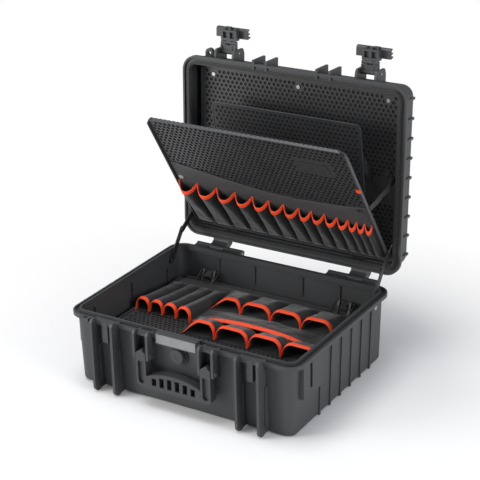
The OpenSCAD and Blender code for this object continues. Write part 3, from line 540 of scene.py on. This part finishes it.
def barrel(x, radius, bore, leaf, thick):
    """A hinge barrel round the X axis with a short leaf to the sheet."""
    deselect()
    bpy.ops.mesh.primitive_cylinder_add(
        vertices=24, radius=radius, depth=BARREL_LEN, end_fill_type="NOTHING", location=(x, 0, 0),
        rotation=(0, math.pi / 2, 0))
    bpy.ops.object.transform_apply(location=True, rotation=True, scale=True)
    tube = active()
    modifier(tube, "SOLIDIFY", thickness=radius - bore, offset=-1)
    modifier(tube, "BEVEL", width=0.0003, segments=2, limit_method="ANGLE")
    deselect()
    low, high = bore + 0.0012, leaf
    bpy.ops.mesh.primitive_cube_add(size=1, location=(x, (low + high) / 2, 0),
                                    scale=(BARREL_LEN, high - low, thick))
    bpy.ops.object.transform_apply(location=True, rotation=True, scale=True)
    plate = active()
    pick_faces(plate, lambda c, n: n.y > 0.9)
    bpy.ops.mesh.inset(thickness=0.0006)
    leave()
    modifier(plate, "BEVEL", width=0.0004, segments=2, limit_method="ANGLE")
    return [tube, plate]


def hole_shade_sheet(corners, radius, thick):
    """A near-black sheet just behind the holes of a sheet: painted shade that stands for the dark depth seen
    through them.
    """
    # this sheet stands in for the dark depth seen through the holes: painted shade
    lining = rounded_plate(corners, radius)
    edit_all()
    bpy.ops.mesh.inset(thickness=2.0 * MM)
    bpy.ops.mesh.select_all(action="INVERT")
    bpy.ops.mesh.delete(type="FACE")
    leave()
    modifier(lining, "SOLIDIFY", thickness=0.35 * MM, offset=0)
    lining.data.transform(Matrix.Translation((0, 0, -thick / 2 + 0.22 * MM)))
    lining.data.materials.clear()
    lining.data.materials.append(finishes()["lining"])
    return lining


def perforated(corners, radius, thick, rim, edge, pierced=lambda x, y: True):
    """A honeycomb sheet in a rounded frame with a raised rim, and the near-black sheet of painted shade behind its
    holes.
    """
    s = bpy.context.scene.case_sizes
    width = 2 * max(c[0] for c in corners)
    low = min(c[1] for c in corners)
    high = max(c[1] for c in corners)
    inside = corner_cut(corners, radius, 3.2 * MM)
    clear = corner_cut(corners, radius, edge)
    sheet = honeycomb(width, high - low, low, s.hole_pitch, s.hole_web, thick * 0.8, inside,
                      lambda x, y: clear(x, y) and pierced(x, y))
    band = rounded_band(corners, radius, edge, thick, rim)
    return [sheet, band, hole_shade_sheet(corners, radius, thick)]


class TOOLCASE_OT_tool_board(bpy.types.Operator):
    """Models the perforated tool board with its rim and hinge barrels"""

    bl_idname = "toolcase.tool_board"
    bl_label = "Tool Board"

    def execute(self, context):
        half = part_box("tool_board")[1].x
        corners = [(-half, 6 * MM), (half, 6 * MM), (half - 8 * MM, BOARD_LEN),
                   (8 * MM - half, BOARD_LEN)]

        def pierced(x, y):
            """Leaves out the pockets' part, the label place with its slits, and the press studs."""
            label = 98 * MM < x < 178 * MM and 262 * MM < y < 312 * MM
            stud = math.hypot(abs(x) - 207 * MM, y - 167 * MM) < 12 * MM
            return y > arc_floor(x) and not (label or stud)

        made = perforated(corners, 18 * MM, SHEET, 5 * MM, EDGE, pierced)
        for side in (-1, 1):
            made += barrel(side * 150 * MM, 3.5 * MM, 1.6 * MM, 9 * MM, SHEET)
        dress(join(made), "board_sheet", "sheet", "tool_board", BOARD_AXES, ["tool_board"])
        return {"FINISHED"}


class TOOLCASE_OT_document_board(bpy.types.Operator):
    """Models the perforated document board with its hinge barrels"""

    bl_idname = "toolcase.document_board"
    bl_label = "Document Board"

    def execute(self, context):
        half = DOC_W / 2
        corners = [(-half, 5 * MM), (half, 5 * MM), (half, DOC_LEN), (-half, DOC_LEN)]
        made = perforated(corners, 12 * MM, DOC_SHEET, 1.0 * MM, 8 * MM)
        for side in (-1, 1):
            made += barrel(side * 118 * MM, 2.2 * MM, 1.1 * MM, 8 * MM, DOC_SHEET)
        dress(join(made), "document_sheet", "sheet", "doc_board", DOC_AXES, ["doc_board"])
        return {"FINISHED"}


class TOOLCASE_OT_back_panel(bpy.types.Operator):
    """Models the perforated panel screwed into the lid"""

    bl_idname = "toolcase.back_panel"
    bl_label = "Back Panel"

    def execute(self, context):
        low, high = 16 * MM, 373 * MM
        corners = [(-PANEL_X, low), (PANEL_X, low), (PANEL_X, high), (-PANEL_X, high)]
        screws = [(u * MM, v * MM) for u, v in SCREWS]

        def pierced(x, y):
            """Leaves out the screws and a plain field at each side."""
            if any(math.hypot(x - a, y - b) < 9 * MM for a, b in screws):
                return False
            return not (abs(x) > 155 * MM and 136 * MM < y < 188 * MM)

        made = perforated(corners, 14 * MM, SHEET, 3.7 * MM, EDGE, pierced)
        dress(join(made), "back_sheet", "sheet", "lid", PANEL_AXES, ["back_panel"])
        return {"FINISHED"}


class TOOLCASE_OT_tray(bpy.types.Operator):
    """Models the perforated tray sheet with its upstanding rim"""

    bl_idname = "toolcase.tray"
    bl_label = "Tray Sheet"

    def execute(self, context):
        low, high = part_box("tray")
        w, d = (high.x - low.x) / 2, (high.y - low.y) / 2
        corners = [(-w, -d), (w, -d), (w, d), (-w, d)]
        made = perforated(corners, 20 * MM, SHEET, 5 * MM, EDGE)
        axes = Matrix.Translation((0, (low.y + high.y) / 2, low.z + SHEET / 2))
        dress(join(made), "tray_sheet", "sheet", "tray", axes, ["tray"])
        return {"FINISHED"}


# ---------------------------------------------------------------- pocket cloth


def arch(t, half, high, radius):
    """Point at share t of the way over a round-cornered arch from its left foot, and its length."""
    r = max(min(radius, high, half), 1e-5)
    wall_ = max(high - r, 0.0)
    bend = math.pi * r / 2
    flat_ = max(2 * (half - r), 0.0)
    total = 2 * wall_ + 2 * bend + flat_
    k = t * total
    if k < wall_:
        return -half, k, total
    k -= wall_
    if k < bend:
        a = k / r
        return -half + r - r * math.cos(a), wall_ + r * math.sin(a), total
    k -= bend
    if k < flat_:
        return -half + r + k, high if high > r else r, total
    k -= flat_
    if k < bend:
        a = k / r
        return half - r + r * math.sin(a), wall_ + r * math.cos(a), total
    k -= bend
    return half, max(wall_ - k, 0.0), total


class Pocket:
    """One arched pocket in millimetres: X across, Y from closed end to mouth, Z off the sheet."""

    def __init__(self, x, width, deep, shallow, length, radius, start=0.0, tilt=0.0, lean=0.0,
                 seed=0, curl=4.5, slant=3.0, close=9.0, peak=0.0, fill=0.0):
        self.x, self.half = x, width / 2 - 0.25
        self.deep, self.shallow, self.length, self.radius = deep, shallow, length, radius
        self.start, self.tilt, self.lean, self.seed = start, tilt, lean, seed
        self.curl, self.slant, self.close = curl, slant, close
        self.peak, self.fill = peak, fill

    def mouth(self, t):
        """Place of the mouth along Y: it runs back from the seams to the front of the pocket."""
        _, z, _ = arch(t, self.half, self.deep, self.radius)
        reach = self.length + self.tilt * (t - 0.5) - 1.6 * math.sin(math.pi * t)
        return reach + self.peak * (1 - min(z / self.deep, 1.0)) ** 1.3

    def at(self, t, y, off=0.0, creased=True):
        """Point of the cloth at share t across and distance y from the closed end."""
        share = min(max(y / self.length, 0.0), 1.0)
        closed = min(max(y / self.close, 0.0), 1.0)
        swell = math.sqrt(max(1 - (1 - closed) ** 2, 0.0))
        high = (self.shallow + (self.deep - self.shallow) * share) * swell + 0.3
        near = max(1 - (self.mouth(t) - y) / 10.0, 0.0)
        high -= self.curl * near ** 1.5 * min(high / self.deep, 1.0)
        x, z, _ = arch(t, self.half, high, self.radius)
        grow = 1 + off / max(self.half, 1.0)
        x, z = x * grow, z + (off if z > 1.0 else 0.0) * min(z / high, 1.0)
        rise = min(z / max(high, 1.0), 1.0)
        side = (x + self.half) if self.lean < 0 else (self.half - x)
        x += self.lean * rise * side / (2 * self.half) * share
        x -= self.slant * rise * x / self.half * share
        if creased:
            # soft folds, puckers along the seams and gathers at the closed end
            edge = min(t, 1 - t) * 2
            fade = min(edge * 2.5, 1.0) * min((self.length - y) / 9.0, 1.0) * closed
            spot = Vector((x * 0.05 + self.seed * 7.1, y * 0.028, 0.3 * self.seed))
            soft = noise.noise(spot) * 1.5 + noise.noise(spot * 2.3) * 0.7
            pucker = (math.sin(y * 0.72 + 2.0 * noise.noise(spot * 1.7)) * 0.42
                      * math.exp(-edge * 5.0) * min(edge * 9, 1))
            gather = math.sin(t * 31.0 + self.seed) * 0.5 * math.exp(-y / 16.0) * closed
            push = (soft * 0.8 - 0.55 + pucker + gather) * max(fade, 0.0)
            z += push * (0.35 + 0.65 * rise)
            x += push * 0.5 * (x / self.half)
        level = self.fill * max(1 - share * 1.25, 0.0) ** 0.8 * min(y / 6.0, 1.0) * self.shallow
        if level > 0.1:
            k = min(z / level, 1.0)
            z = max(z, level * (0.72 + 0.28 * k))
        return Vector((self.x + x, self.start + y, max(z, 0.9)))


def cloth_grid(across, along, spot, size):
    """A grid with each vertex at spot(share across, share along), and its flat size as its UV."""
    deselect()
    bpy.ops.mesh.primitive_grid_add(x_subdivisions=across, y_subdivisions=along, size=1)
    sheet = active()
    mesh = sheet.data
    keys = {v.index: (v.co.x + 0.5, v.co.y + 0.5) for v in mesh.vertices}
    for v in mesh.vertices:
        v.co = spot(*keys[v.index]) * MM
    layer = mesh.uv_layers.active.data
    for loop in mesh.loops:
        a, b = keys[loop.vertex_index]
        layer[loop.index].uv = (a * size[0], b * size[1])
    return sheet


def flip_outward(sheet):
    """Turns a cloth grid so that its faces look off the sheet it lies on."""
    up = sum(f.normal.z * f.area for f in sheet.data.polygons)
    if up < 0:
        edit_all()
        bpy.ops.mesh.flip_normals()
        leave()


def cloth_area(sheet):
    return sum(f.area for f in sheet.data.polygons)


def row_width(pockets):
    """Width of a row's cloth laid flat, in metres."""
    return sum(arch(0, p.half, p.deep, p.radius)[2] for p in pockets) * MM


def pocket_under(pockets, a):
    """The pocket at share a across a row, and the share across that pocket."""
    count = len(pockets)
    k = min(int(a * count + 1e-6), count - 1)
    return pockets[k], min(max(a * count - k, 0.0), 1.0)


def pocket_row(name, pockets, body, axes, nodes, per, along):
    """The cloth of a row of pockets as one gathered sheet, with its flat size and its area."""
    total = row_width(pockets)
    length = max(p.length for p in pockets) * 1.06 * MM

    def spot(a, b):
        p, t = pocket_under(pockets, a)
        return p.at(t, b * (p.mouth(t) - 1.0))

    sheet = cloth_grid(per * len(pockets), along, spot, (total, length))
    flip_outward(sheet)
    area = cloth_area(sheet)
    modifier(sheet, "SOLIDIFY", thickness=CLOTH_T, offset=-1)
    smooth(sheet, 60)
    dress(sheet, name, "cloth", body, axes, nodes)
    width, tall = total, max(length, area / total * 1.02)
    return sheet, (width, tall), min(area, width * tall)


def hem_fold(lip, band=8.0):
    """Profile of folded tape: (off the cloth, back from the mouth), from outer to inner edge."""
    return ((0.45, band), (0.62, band * 0.5), (0.5, 0.3), (0.0, -lip), (-0.7, -lip), (-1.3, 0.3),
            (-1.4, band * 0.5), (-1.25, band))


def along_fold(fold, b):
    """Offset and setback at share b of the way round folded tape."""
    step = b * (len(fold) - 1)
    n = min(int(step + 1e-6), len(fold) - 2)
    g = step - n
    return [p + (q - p) * g for p, q in zip(fold[n], fold[n + 1])]


def hem_tape(name, across, fold, spot, width, body, axes, nodes):
    """Tape folded over a mouth."""
    tape = cloth_grid(across, len(fold) - 1, spot, (width, 0.0126))
    flip_outward(tape)
    modifier(tape, "SOLIDIFY", thickness=HEM_T, offset=-1)
    smooth(tape, 60)
    return dress(tape, name, "hem", body, axes, nodes)


def hem_row(name, pockets, body, axes, nodes, per):
    """Tape folded over the mouths of a row of pockets."""
    fold = hem_fold(0.35)

    def spot(a, b):
        p, t = pocket_under(pockets, a)
        off, back = along_fold(fold, b)
        return p.at(t, p.mouth(t) - 1.0 - back, off, False)

    across = per * len(pockets)
    return hem_tape(name, across, fold, spot, row_width(pockets), body, axes, nodes)


def board_row():
    """The fourteen tool pockets of the board, from left to right."""
    found = []
    for i, (u0, u1) in enumerate(zip(HEM_U, HEM_U[1:])):
        w = u1 - u0
        left, right = (146 - 32 * math.sin(math.radians(70 * k / 13)) - 6 for k in (i, i + 1))
        found.append(Pocket((u0 + u1) / 2, w, max(23.5 - 0.85 * i, w / 2), 7,
                            (left + right) / 2 - 13, w / 2, start=16, tilt=right - left,
                            lean=-0.22 * w, seed=i + 1, slant=1.5, peak=13.0, fill=0.85))
    return found


class TOOLCASE_OT_board_pockets(bpy.types.Operator):
    """Sews the fourteen tool pockets and their hem tape onto the tool board"""

    bl_idname = "toolcase.board_pockets"
    bl_label = "Board Pockets"

    def execute(self, context):
        axes = BOARD_AXES @ Matrix.Translation((0, 0, SHEET / 2))
        row = board_row()
        cloth, flat, area = pocket_row("board_pocket_cloth", row, "tool_board", axes,
                                       ["board_pockets"], 20, 30)
        hem = hem_row("board_pocket_hem", row, "tool_board", axes, ["board_hem"], 20)
        return {"FINISHED"}


# rows of four pockets on the tray, in millimetres: name, x of the first, width of each, (depth at
# the mouth, depth at the closed end, length, corner radius), form, lean of the first, first seed,
# y of the mouths, and the cloth's grid across one pocket and along
TRAY_ROWS = (
    ("front", 42.5, 75, (36, 21, 48, 19), {"curl": 5, "slant": 5, "close": 9, "peak": 3},
     -30, 20, -59, 26, 18),
    ("side", 205.5, 33, (31, 8, 150, 14),
     {"curl": 4, "slant": 2.6, "close": 16, "peak": 2, "fill": 0.85}, 0, 30, -18, 20, 44),
    ("rear", 54, 70, (32, 12, 84, 19),
     {"curl": 5, "slant": 4.5, "close": 20, "peak": 3, "fill": 0.8}, -30, 40, 62, 26, 30),
)


def tray_top():
    """Height of the tray sheet's upper face."""
    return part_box("tray")[0].z + SHEET


class TOOLCASE_OT_tray_pockets(bpy.types.Operator):
    """Sews the pockets that lie on the tray, and their hem tape"""

    bl_idname = "toolcase.tray_pockets"
    bl_label = "Tray Pockets"

    def execute(self, context):
        about = Matrix.Rotation(math.pi, 4, "Z")
        for label, x, width, shape, form, lean, seed, mouth, per, along in TRAY_ROWS:
            row = [Pocket(x - width * k, width, *shape, lean=0 if k else lean, seed=seed + k,
                          **form) for k in range(4)]
            row.sort(key=lambda p: p.x)
            axes = Matrix.Translation((0, (mouth + shape[2]) * MM, tray_top())) @ about
            cloth, flat, area = pocket_row(label + "_pocket_cloth", row, "tray", axes,
                                           ["tray_pockets_" + label], per, along)
            hem = hem_row(label + "_pocket_hem", row, "tray", axes, ["tray_hems"], per)
        return {"FINISHED"}


def laid_cloth(name, across, along, spot, size, body, axes):
    """A thin lining that lies flat."""
    cloth = cloth_grid(across, along, spot, size)
    flip_outward(cloth)
    modifier(cloth, "SOLIDIFY", thickness=0.7 * MM, offset=-1)
    smooth(cloth, 50)
    dress(cloth, name, "cloth", body, axes)


class TOOLCASE_OT_linings(bpy.types.Operator):
    """Lays the cloth panels that the pockets are sewn to, on the board and on the tray"""

    bl_idname = "toolcase.linings"
    bl_label = "Pocket Linings"

    def execute(self, context):
        half, back, turn = 221.5, 164, 24

        def corner(x, y):
            """Keeps the far corners clear of the tray's rounded rim."""
            over = max(abs(x) - (half - turn), 0.0)
            reach = back - turn + math.sqrt(max(turn ** 2 - over ** 2, 0.0))
            return min(y, reach)

        at = Matrix.Translation((0, 0, tray_top()))
        for name, across, along, x0, y0, size, drift, seed in (
            ("side_lining", 40, 50, -221.5, -16.5, (0.133, 0.181), 180, 3.0),
            ("main_lining", 80, 60, -88.5, -57, (0.310, 0.221), 220, 4.0),
        ):
            def spot(a, b):
                x = x0 + round(size[0] / MM) * a
                wave = 0.75 + 0.35 * noise.noise(Vector((x * 0.03, b * drift * 0.04, seed)))
                return Vector((x, corner(x, y0 + round(size[1] / MM) * b), wave))

            laid_cloth(name, across, along, spot, size, "tray", at)

        def apron(a, b):
            x = -222 + 444 * a
            high = arc_floor(x * MM) / MM - 1.0
            low = 13.0 + 6.0 * max(abs(x) - 212, 0) / 10
            side = 226.5 - 8.0 * high / 353 - 1.0
            x = max(-side, min(side, x))
            y = low + (high - low) * b
            wave = 0.3 * noise.noise(Vector((x * 0.04, y * 0.05, 8.0)))
            return Vector((x, y, 0.8 + wave + 0.5 * math.exp(-((b - 1.0) * 30) ** 2)))

        board = BOARD_AXES @ Matrix.Translation((0, 0, SHEET / 2))
        laid_cloth("board_apron", 90, 40, apron, (0.444, 0.208), "tool_board", board)
        return {"FINISHED"}


class TOOLCASE_OT_flat_pocket(bpy.types.Operator):
    """Sews the long shallow pocket between the two wide rows of the tray"""

    bl_idname = "toolcase.flat_pocket"
    bl_label = "Flat Pocket"

    def execute(self, context):
        half, sag, deep = 144.0, 23.0, 63.5
        wide, tall = 0.289, 0.068

        def spot(a, b, off=0.0, creased=True):
            x = (a * 2 - 1) * half
            y = b * deep
            rise = 1 - abs(x / half) ** 2.7
            back = 1 - 0.55 * b
            shut = math.sqrt(max(1 - max((y - deep + 9) / 9, 0) ** 2, 0))
            curl = 4.5 * min(rise * 2, 1) * max(1 - y / 10.0, 0) ** 1.5
            z = (sag * rise * back - curl) * shut + off * min(rise * 6, 1)
            if creased:
                fade = min(rise * 2, 1) * min(y / 8, 1) * shut
                soft = noise.noise(Vector((x * 0.03, y * 0.05, 5.0))) * 2.4
                fine = noise.noise(Vector((x * 0.09, y * 0.1, 9.0))) * 0.8
                z += (soft + fine - 1.0) * fade
            return Vector((52.5 + x, -8 + y, max(z, 0.3)))

        cloth = cloth_grid(90, 24, spot, (wide, tall))
        flip_outward(cloth)
        modifier(cloth, "SOLIDIFY", thickness=CLOTH_T, offset=-1)
        smooth(cloth, 60)
        at = Matrix.Translation((0, 0, tray_top()))
        dress(cloth, "flat_pocket_cloth", "cloth", "tray", at, ["tray_pocket_flat"])
        fold = hem_fold(0.3)

        def edge(a, b):
            off, back = along_fold(fold, b)
            return spot(a, back / deep, off, False)

        hem = hem_tape("flat_pocket_hem", 90, fold, edge, wide, "tray", at, ["tray_hems"])
        return {"FINISHED"}


# ---------------------------------------------------------------- straps


def strap_between(name, corners, sag, node):
    """A flat strap between two edges, each given by two points, one edge on each of two bodies."""
    (a0, a1), (b0, b1) = corners
    length = ((a0 + a1) / 2 - (b0 + b1) / 2).length
    width = max((a0 - a1).length, (b0 - b1).length)

    def spot(a, b):
        p = a0.lerp(a1, a).lerp(b0.lerp(b1, a), b)
        dip = sag * math.sin(math.pi * b)
        ripple = 0.0006 * math.sin(b * 17.0 + a * 2.0) * math.sin(math.pi * b)
        return (p + Vector((ripple, 0, -dip))) / MM

    strap = cloth_grid(6, 26, spot, (width, length))
    modifier(strap, "SOLIDIFY", thickness=1.1 * MM, offset=0)
    modifier(strap, "BEVEL", width=0.0002, segments=1, limit_method="ANGLE",
             angle_limit=math.radians(60))
    smooth(strap, 50)
    strap.name = strap.data.name = name
    strap.data.materials.clear()
    strap.data.materials.append(finishes()["webbing"])
    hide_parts(node)
    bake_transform(strap)


class TOOLCASE_OT_straps(bpy.types.Operator):
    """Hangs the webbing straps that hold the tool board and the document board"""

    bl_idname = "toolcase.straps"
    bl_label = "Board Straps"

    def execute(self, context):
        webbing = ("limit_webbing_", "tool_board", "limit_strap_", BOARD_AXES, BOARD_LEN / MM,
                   222.5 + 4.9, (0.524, 0.4844), (-9.5, 4.5), 0.0025)
        gusset = ("document_gusset_", "doc_board", "doc_strap_", DOC_AXES, DOC_LEN / MM,
                  DOC_W / MM / 2 + 0.8, (0.7473, 0.6245), (-9.5, 24.5), 0.0)
        for side, tag in ((-1, "l"), (1, "r")):
            for name, body, node, axes, length, half, shares, backs, sag in (webbing, gusset):
                x = side * half
                on_lid = [LID_TURN @ (Vector((x, y, PANEL_Z / MM - 0.4)) * MM) for y in backs]
                on_board = [axes @ (Vector((x, length * share, 0)) * MM) for share in shares]
                strap_between(name + tag, (on_lid, on_board), sag, node + tag)
        return {"FINISHED"}


class TOOLCASE_OT_pull_tab(bpy.types.Operator):
    """Folds the small bright pull tab at the right edge of the tool board"""

    bl_idname = "toolcase.pull_tab"
    bl_label = "Pull Tab"

    def execute(self, context):
        low, high = 236.0, 245.0
        x0, x1, z = 217.7, 229.3, 6.3

        def spot(a, b):
            k = (b * 2 - 1)
            reach = x1 - 1.0 - (x1 - x0 - 1.0) * abs(k) ** 1.6
            lift = 0.65 * math.copysign(min(abs(k) * 3.0, 1.0), k)
            return Vector((reach, low + (high - low) * a, z + 0.75 + lift))

        tab = cloth_grid(8, 28, spot, ((high - low) * MM, 0.023))
        modifier(tab, "SOLIDIFY", thickness=0.35 * MM, offset=0)
        smooth(tab, 50)
        dress(tab, "board_pull_tab", "hem", "tool_board", BOARD_AXES, ["board_tab"])
        return {"FINISHED"}


# ---------------------------------------------------------------- finishes on the carried-over nodes


class TOOLCASE_OT_finish_nodes(bpy.types.Operator):
    """Gives every carried-over solid its finish"""

    bl_idname = "toolcase.finish_nodes"
    bl_label = "Finish the Solids"

    def execute(self, context):
        slots = {p["node"]: p["material_slot"] for p in frame["record"]["subparts"]}
        for name, obj in frame["nodes"].items():
            obj.data.materials.clear()
            obj.data.materials.append(finishes()[slots[name]])
        return {"FINISHED"}


# ---------------------------------------------------------------- floor, light and camera


def lay_floor():
    """A pale floor that turns to plain white away from the case, where the camera sees it."""
    deselect()
    bpy.ops.mesh.primitive_plane_add(size=14, location=(0, 0, -0.0005))
    floor = active()
    floor.name = "floor"
    net = Net("floor_paper")
    at = net.place()
    tone = net.blend(net.speckle(at, 3.0, 2.0), (0.86, 0.86, 0.86), (0.9, 0.9, 0.9))
    net.finish(tone, 0.85, net.bump(net.speckle(at, 300.0, 2.0), 0.03, 0.001))
    paper = next(n for n in net.tree.nodes if n.type == "BSDF_PRINCIPLED")
    east, north, _ = net.parts(at)
    away = (((east * east + north * north) ** 0.5 - 0.42) * 2.6).clamped()
    ray = net.tree.nodes.new("ShaderNodeLightPath")
    shown = Signal(net, ray.outputs["Is Camera Ray"]) + Signal(net, ray.outputs["Is Glossy Ray"])
    glow = net.tree.nodes.new("ShaderNodeEmission")
    both = net.tree.nodes.new("ShaderNodeMixShader")
    net.tree.links.new((away * shown).clamped().socket, both.inputs[0])
    net.tree.links.new(paper.outputs[0], both.inputs[1])
    net.tree.links.new(glow.outputs[0], both.inputs[2])
    net.tree.links.new(both.outputs[0], net.out.inputs[0])
    floor.data.materials.append(net.material)


def fill_air(scene):
    """Soft grey light from all round, seen as plain white by the camera."""
    world = bpy.data.worlds.new("studio_air")
    world.use_nodes = True
    scene.world = world
    tree = world.node_tree
    tree.nodes.clear()
    out = tree.nodes.new("ShaderNodeOutputWorld")
    mix = tree.nodes.new("ShaderNodeMixShader")
    ray = tree.nodes.new("ShaderNodeLightPath")
    seen = tree.nodes.new("ShaderNodeMath")
    seen.operation = "MAXIMUM"
    tree.links.new(ray.outputs["Is Camera Ray"], seen.inputs[0])
    tree.links.new(ray.outputs["Is Transmission Ray"], seen.inputs[1])
    tree.links.new(seen.outputs[0], mix.inputs[0])
    for place, colour, strength in ((1, (0.93, 0.95, 1.0, 1), 0.4), (2, (1, 1, 1, 1), 1.0)):
        sky = tree.nodes.new("ShaderNodeBackground")
        sky.inputs["Color"].default_value = colour
        sky.inputs["Strength"].default_value = strength
        tree.links.new(sky.outputs[0], mix.inputs[place])
    tree.links.new(mix.outputs[0], out.inputs[0])


def hang_lamps(scene):
    """Three soft boxes that look at the case."""
    for name, place, size, power, tint in (
        ("key_softbox", (-2.1, -1.9, 0.9), 1.5, 62.0, (1.0, 0.99, 0.98)),
        ("fill_softbox", (2.7, -0.5, 1.0), 1.5, 38.0, (0.97, 0.98, 1.0)),
        ("top_softbox", (-0.5, -0.3, 3.0), 1.6, 48.0, (1.0, 1.0, 1.0)),
    ):
        lamp = bpy.data.lights.new(name, "AREA")
        lamp.shape = "SQUARE"
        lamp.size = size
        lamp.energy = power
        lamp.color = tint
        holder = bpy.data.objects.new(name, lamp)
        scene.collection.objects.link(holder)
        aim = (Vector((0, 0.05, 0.2)) - Vector(place)).to_track_quat("-Z", "Y")
        holder.matrix_world = Matrix.Translation(place) @ aim.to_matrix().to_4x4()


def set_camera(scene):
    """The camera at the photograph's viewing angle."""
    turn, drop, roll = (math.radians(angle) for angle in CAMERA_ANGLES)
    ahead = Vector((-math.sin(turn) * math.cos(drop), math.cos(turn) * math.cos(drop),
                    -math.sin(drop)))
    level = ahead.cross(Vector((0, 0, 1))).normalized()
    above = level.cross(ahead)
    right = math.cos(roll) * level + math.sin(roll) * above
    up = -math.sin(roll) * level + math.cos(roll) * above
    camera = bpy.data.cameras.new("camera")
    camera.sensor_width = SENSOR
    camera.lens = SENSOR * FOCAL_PX / PHOTO_WIDTH
    camera.clip_end = 50
    eye = bpy.data.objects.new("camera", camera)
    scene.collection.objects.link(eye)
    facing = Matrix((right, up, -ahead)).transposed().to_4x4()
    eye.matrix_world = Matrix.Translation(CAMERA_PLACE) @ facing
    scene.camera = eye


class TOOLCASE_OT_stage(bpy.types.Operator):
    """Sets the floor, the soft light and the camera"""

    bl_idname = "toolcase.stage"
    bl_label = "Floor, Light and Camera"

    def execute(self, context):
        scene = context.scene
        lay_floor()
        fill_air(scene)
        hang_lamps(scene)
        set_camera(scene)
        scene.view_settings.view_transform = "Standard"
        return {"FINISHED"}


# ---------------------------------------------------------------- add-on parts


class CaseSizes(bpy.types.PropertyGroup):
    hole_pitch: bpy.props.FloatProperty(
        name="Hole Pitch", description="Distance between neighbouring holes of the boards",
        default=0.0104, min=0.007, max=0.02, unit="LENGTH")
    hole_web: bpy.props.FloatProperty(
        name="Hole Web", description="Width of the material between two holes",
        default=0.0034, min=0.001, max=0.008, unit="LENGTH")


class CaseColours(bpy.types.PropertyGroup):
    shell: bpy.props.FloatVectorProperty(
        name="Shell", description="Colour of the moulded shells",
        default=(0.036, 0.0375, 0.039), subtype="COLOR", min=0, max=1)
    fitting: bpy.props.FloatVectorProperty(
        name="Fittings", description="Colour of the latches and handle",
        default=(0.03, 0.031, 0.033), subtype="COLOR", min=0, max=1)
    sheet: bpy.props.FloatVectorProperty(
        name="Sheets", description="Colour of the perforated boards",
        default=(0.033, 0.034, 0.036), subtype="COLOR", min=0, max=1)
    cloth: bpy.props.FloatVectorProperty(
        name="Pocket Cloth", description="Colour of the pocket fabric",
        default=(0.006, 0.0062, 0.007), subtype="COLOR", min=0, max=1)
    hem: bpy.props.FloatVectorProperty(
        name="Hem Tape", description="Colour of the hem tape",
        default=(0.98, 0.07, 0.009), subtype="COLOR", min=0, max=1)


OPERATORS = (
    TOOLCASE_OT_finish_nodes,
    TOOLCASE_OT_tool_board,
    TOOLCASE_OT_document_board,
    TOOLCASE_OT_back_panel,
    TOOLCASE_OT_tray,
    TOOLCASE_OT_linings,
    TOOLCASE_OT_board_pockets,
    TOOLCASE_OT_tray_pockets,
    TOOLCASE_OT_flat_pocket,
    TOOLCASE_OT_straps,
    TOOLCASE_OT_pull_tab,
    TOOLCASE_OT_stage,
)


class TOOLCASE_PT_panel(bpy.types.Panel):
    """Lists the steps that dress the tool case"""

    bl_idname = "TOOLCASE_PT_panel"
    bl_label = "Tool Case"
    bl_space_type = "VIEW_3D"
    bl_region_type = "UI"
    bl_category = "Tool Case"

    def draw(self, context):
        for operator in OPERATORS:
            self.layout.operator(operator.bl_idname)
        for group in (context.scene.case_sizes, context.scene.case_colours):
            for key in group.__annotations__:
                self.layout.prop(group, key)


CLASSES = (CaseSizes, CaseColours) + OPERATORS + (TOOLCASE_PT_panel,)


def register():
    for c in CLASSES:
        bpy.utils.register_class(c)
    bpy.types.Scene.case_sizes = bpy.props.PointerProperty(type=CaseSizes)
    bpy.types.Scene.case_colours = bpy.props.PointerProperty(type=CaseColours)


def unregister():
    del bpy.types.Scene.case_colours
    del bpy.types.Scene.case_sizes
    for c in reversed(CLASSES):
        bpy.utils.unregister_class(c)


def main():
    register()
    bpy.ops.toolcase.finish_nodes()
    bpy.ops.toolcase.tool_board()
    bpy.ops.toolcase.document_board()
    bpy.ops.toolcase.back_panel()
    bpy.ops.toolcase.tray()
    bpy.ops.toolcase.linings()
    bpy.ops.toolcase.board_pockets()
    bpy.ops.toolcase.tray_pockets()
    bpy.ops.toolcase.flat_pocket()
    bpy.ops.toolcase.straps()
    bpy.ops.toolcase.pull_tab()
    bpy.ops.toolcase.stage()


if __name__ == "__main__":
    main()
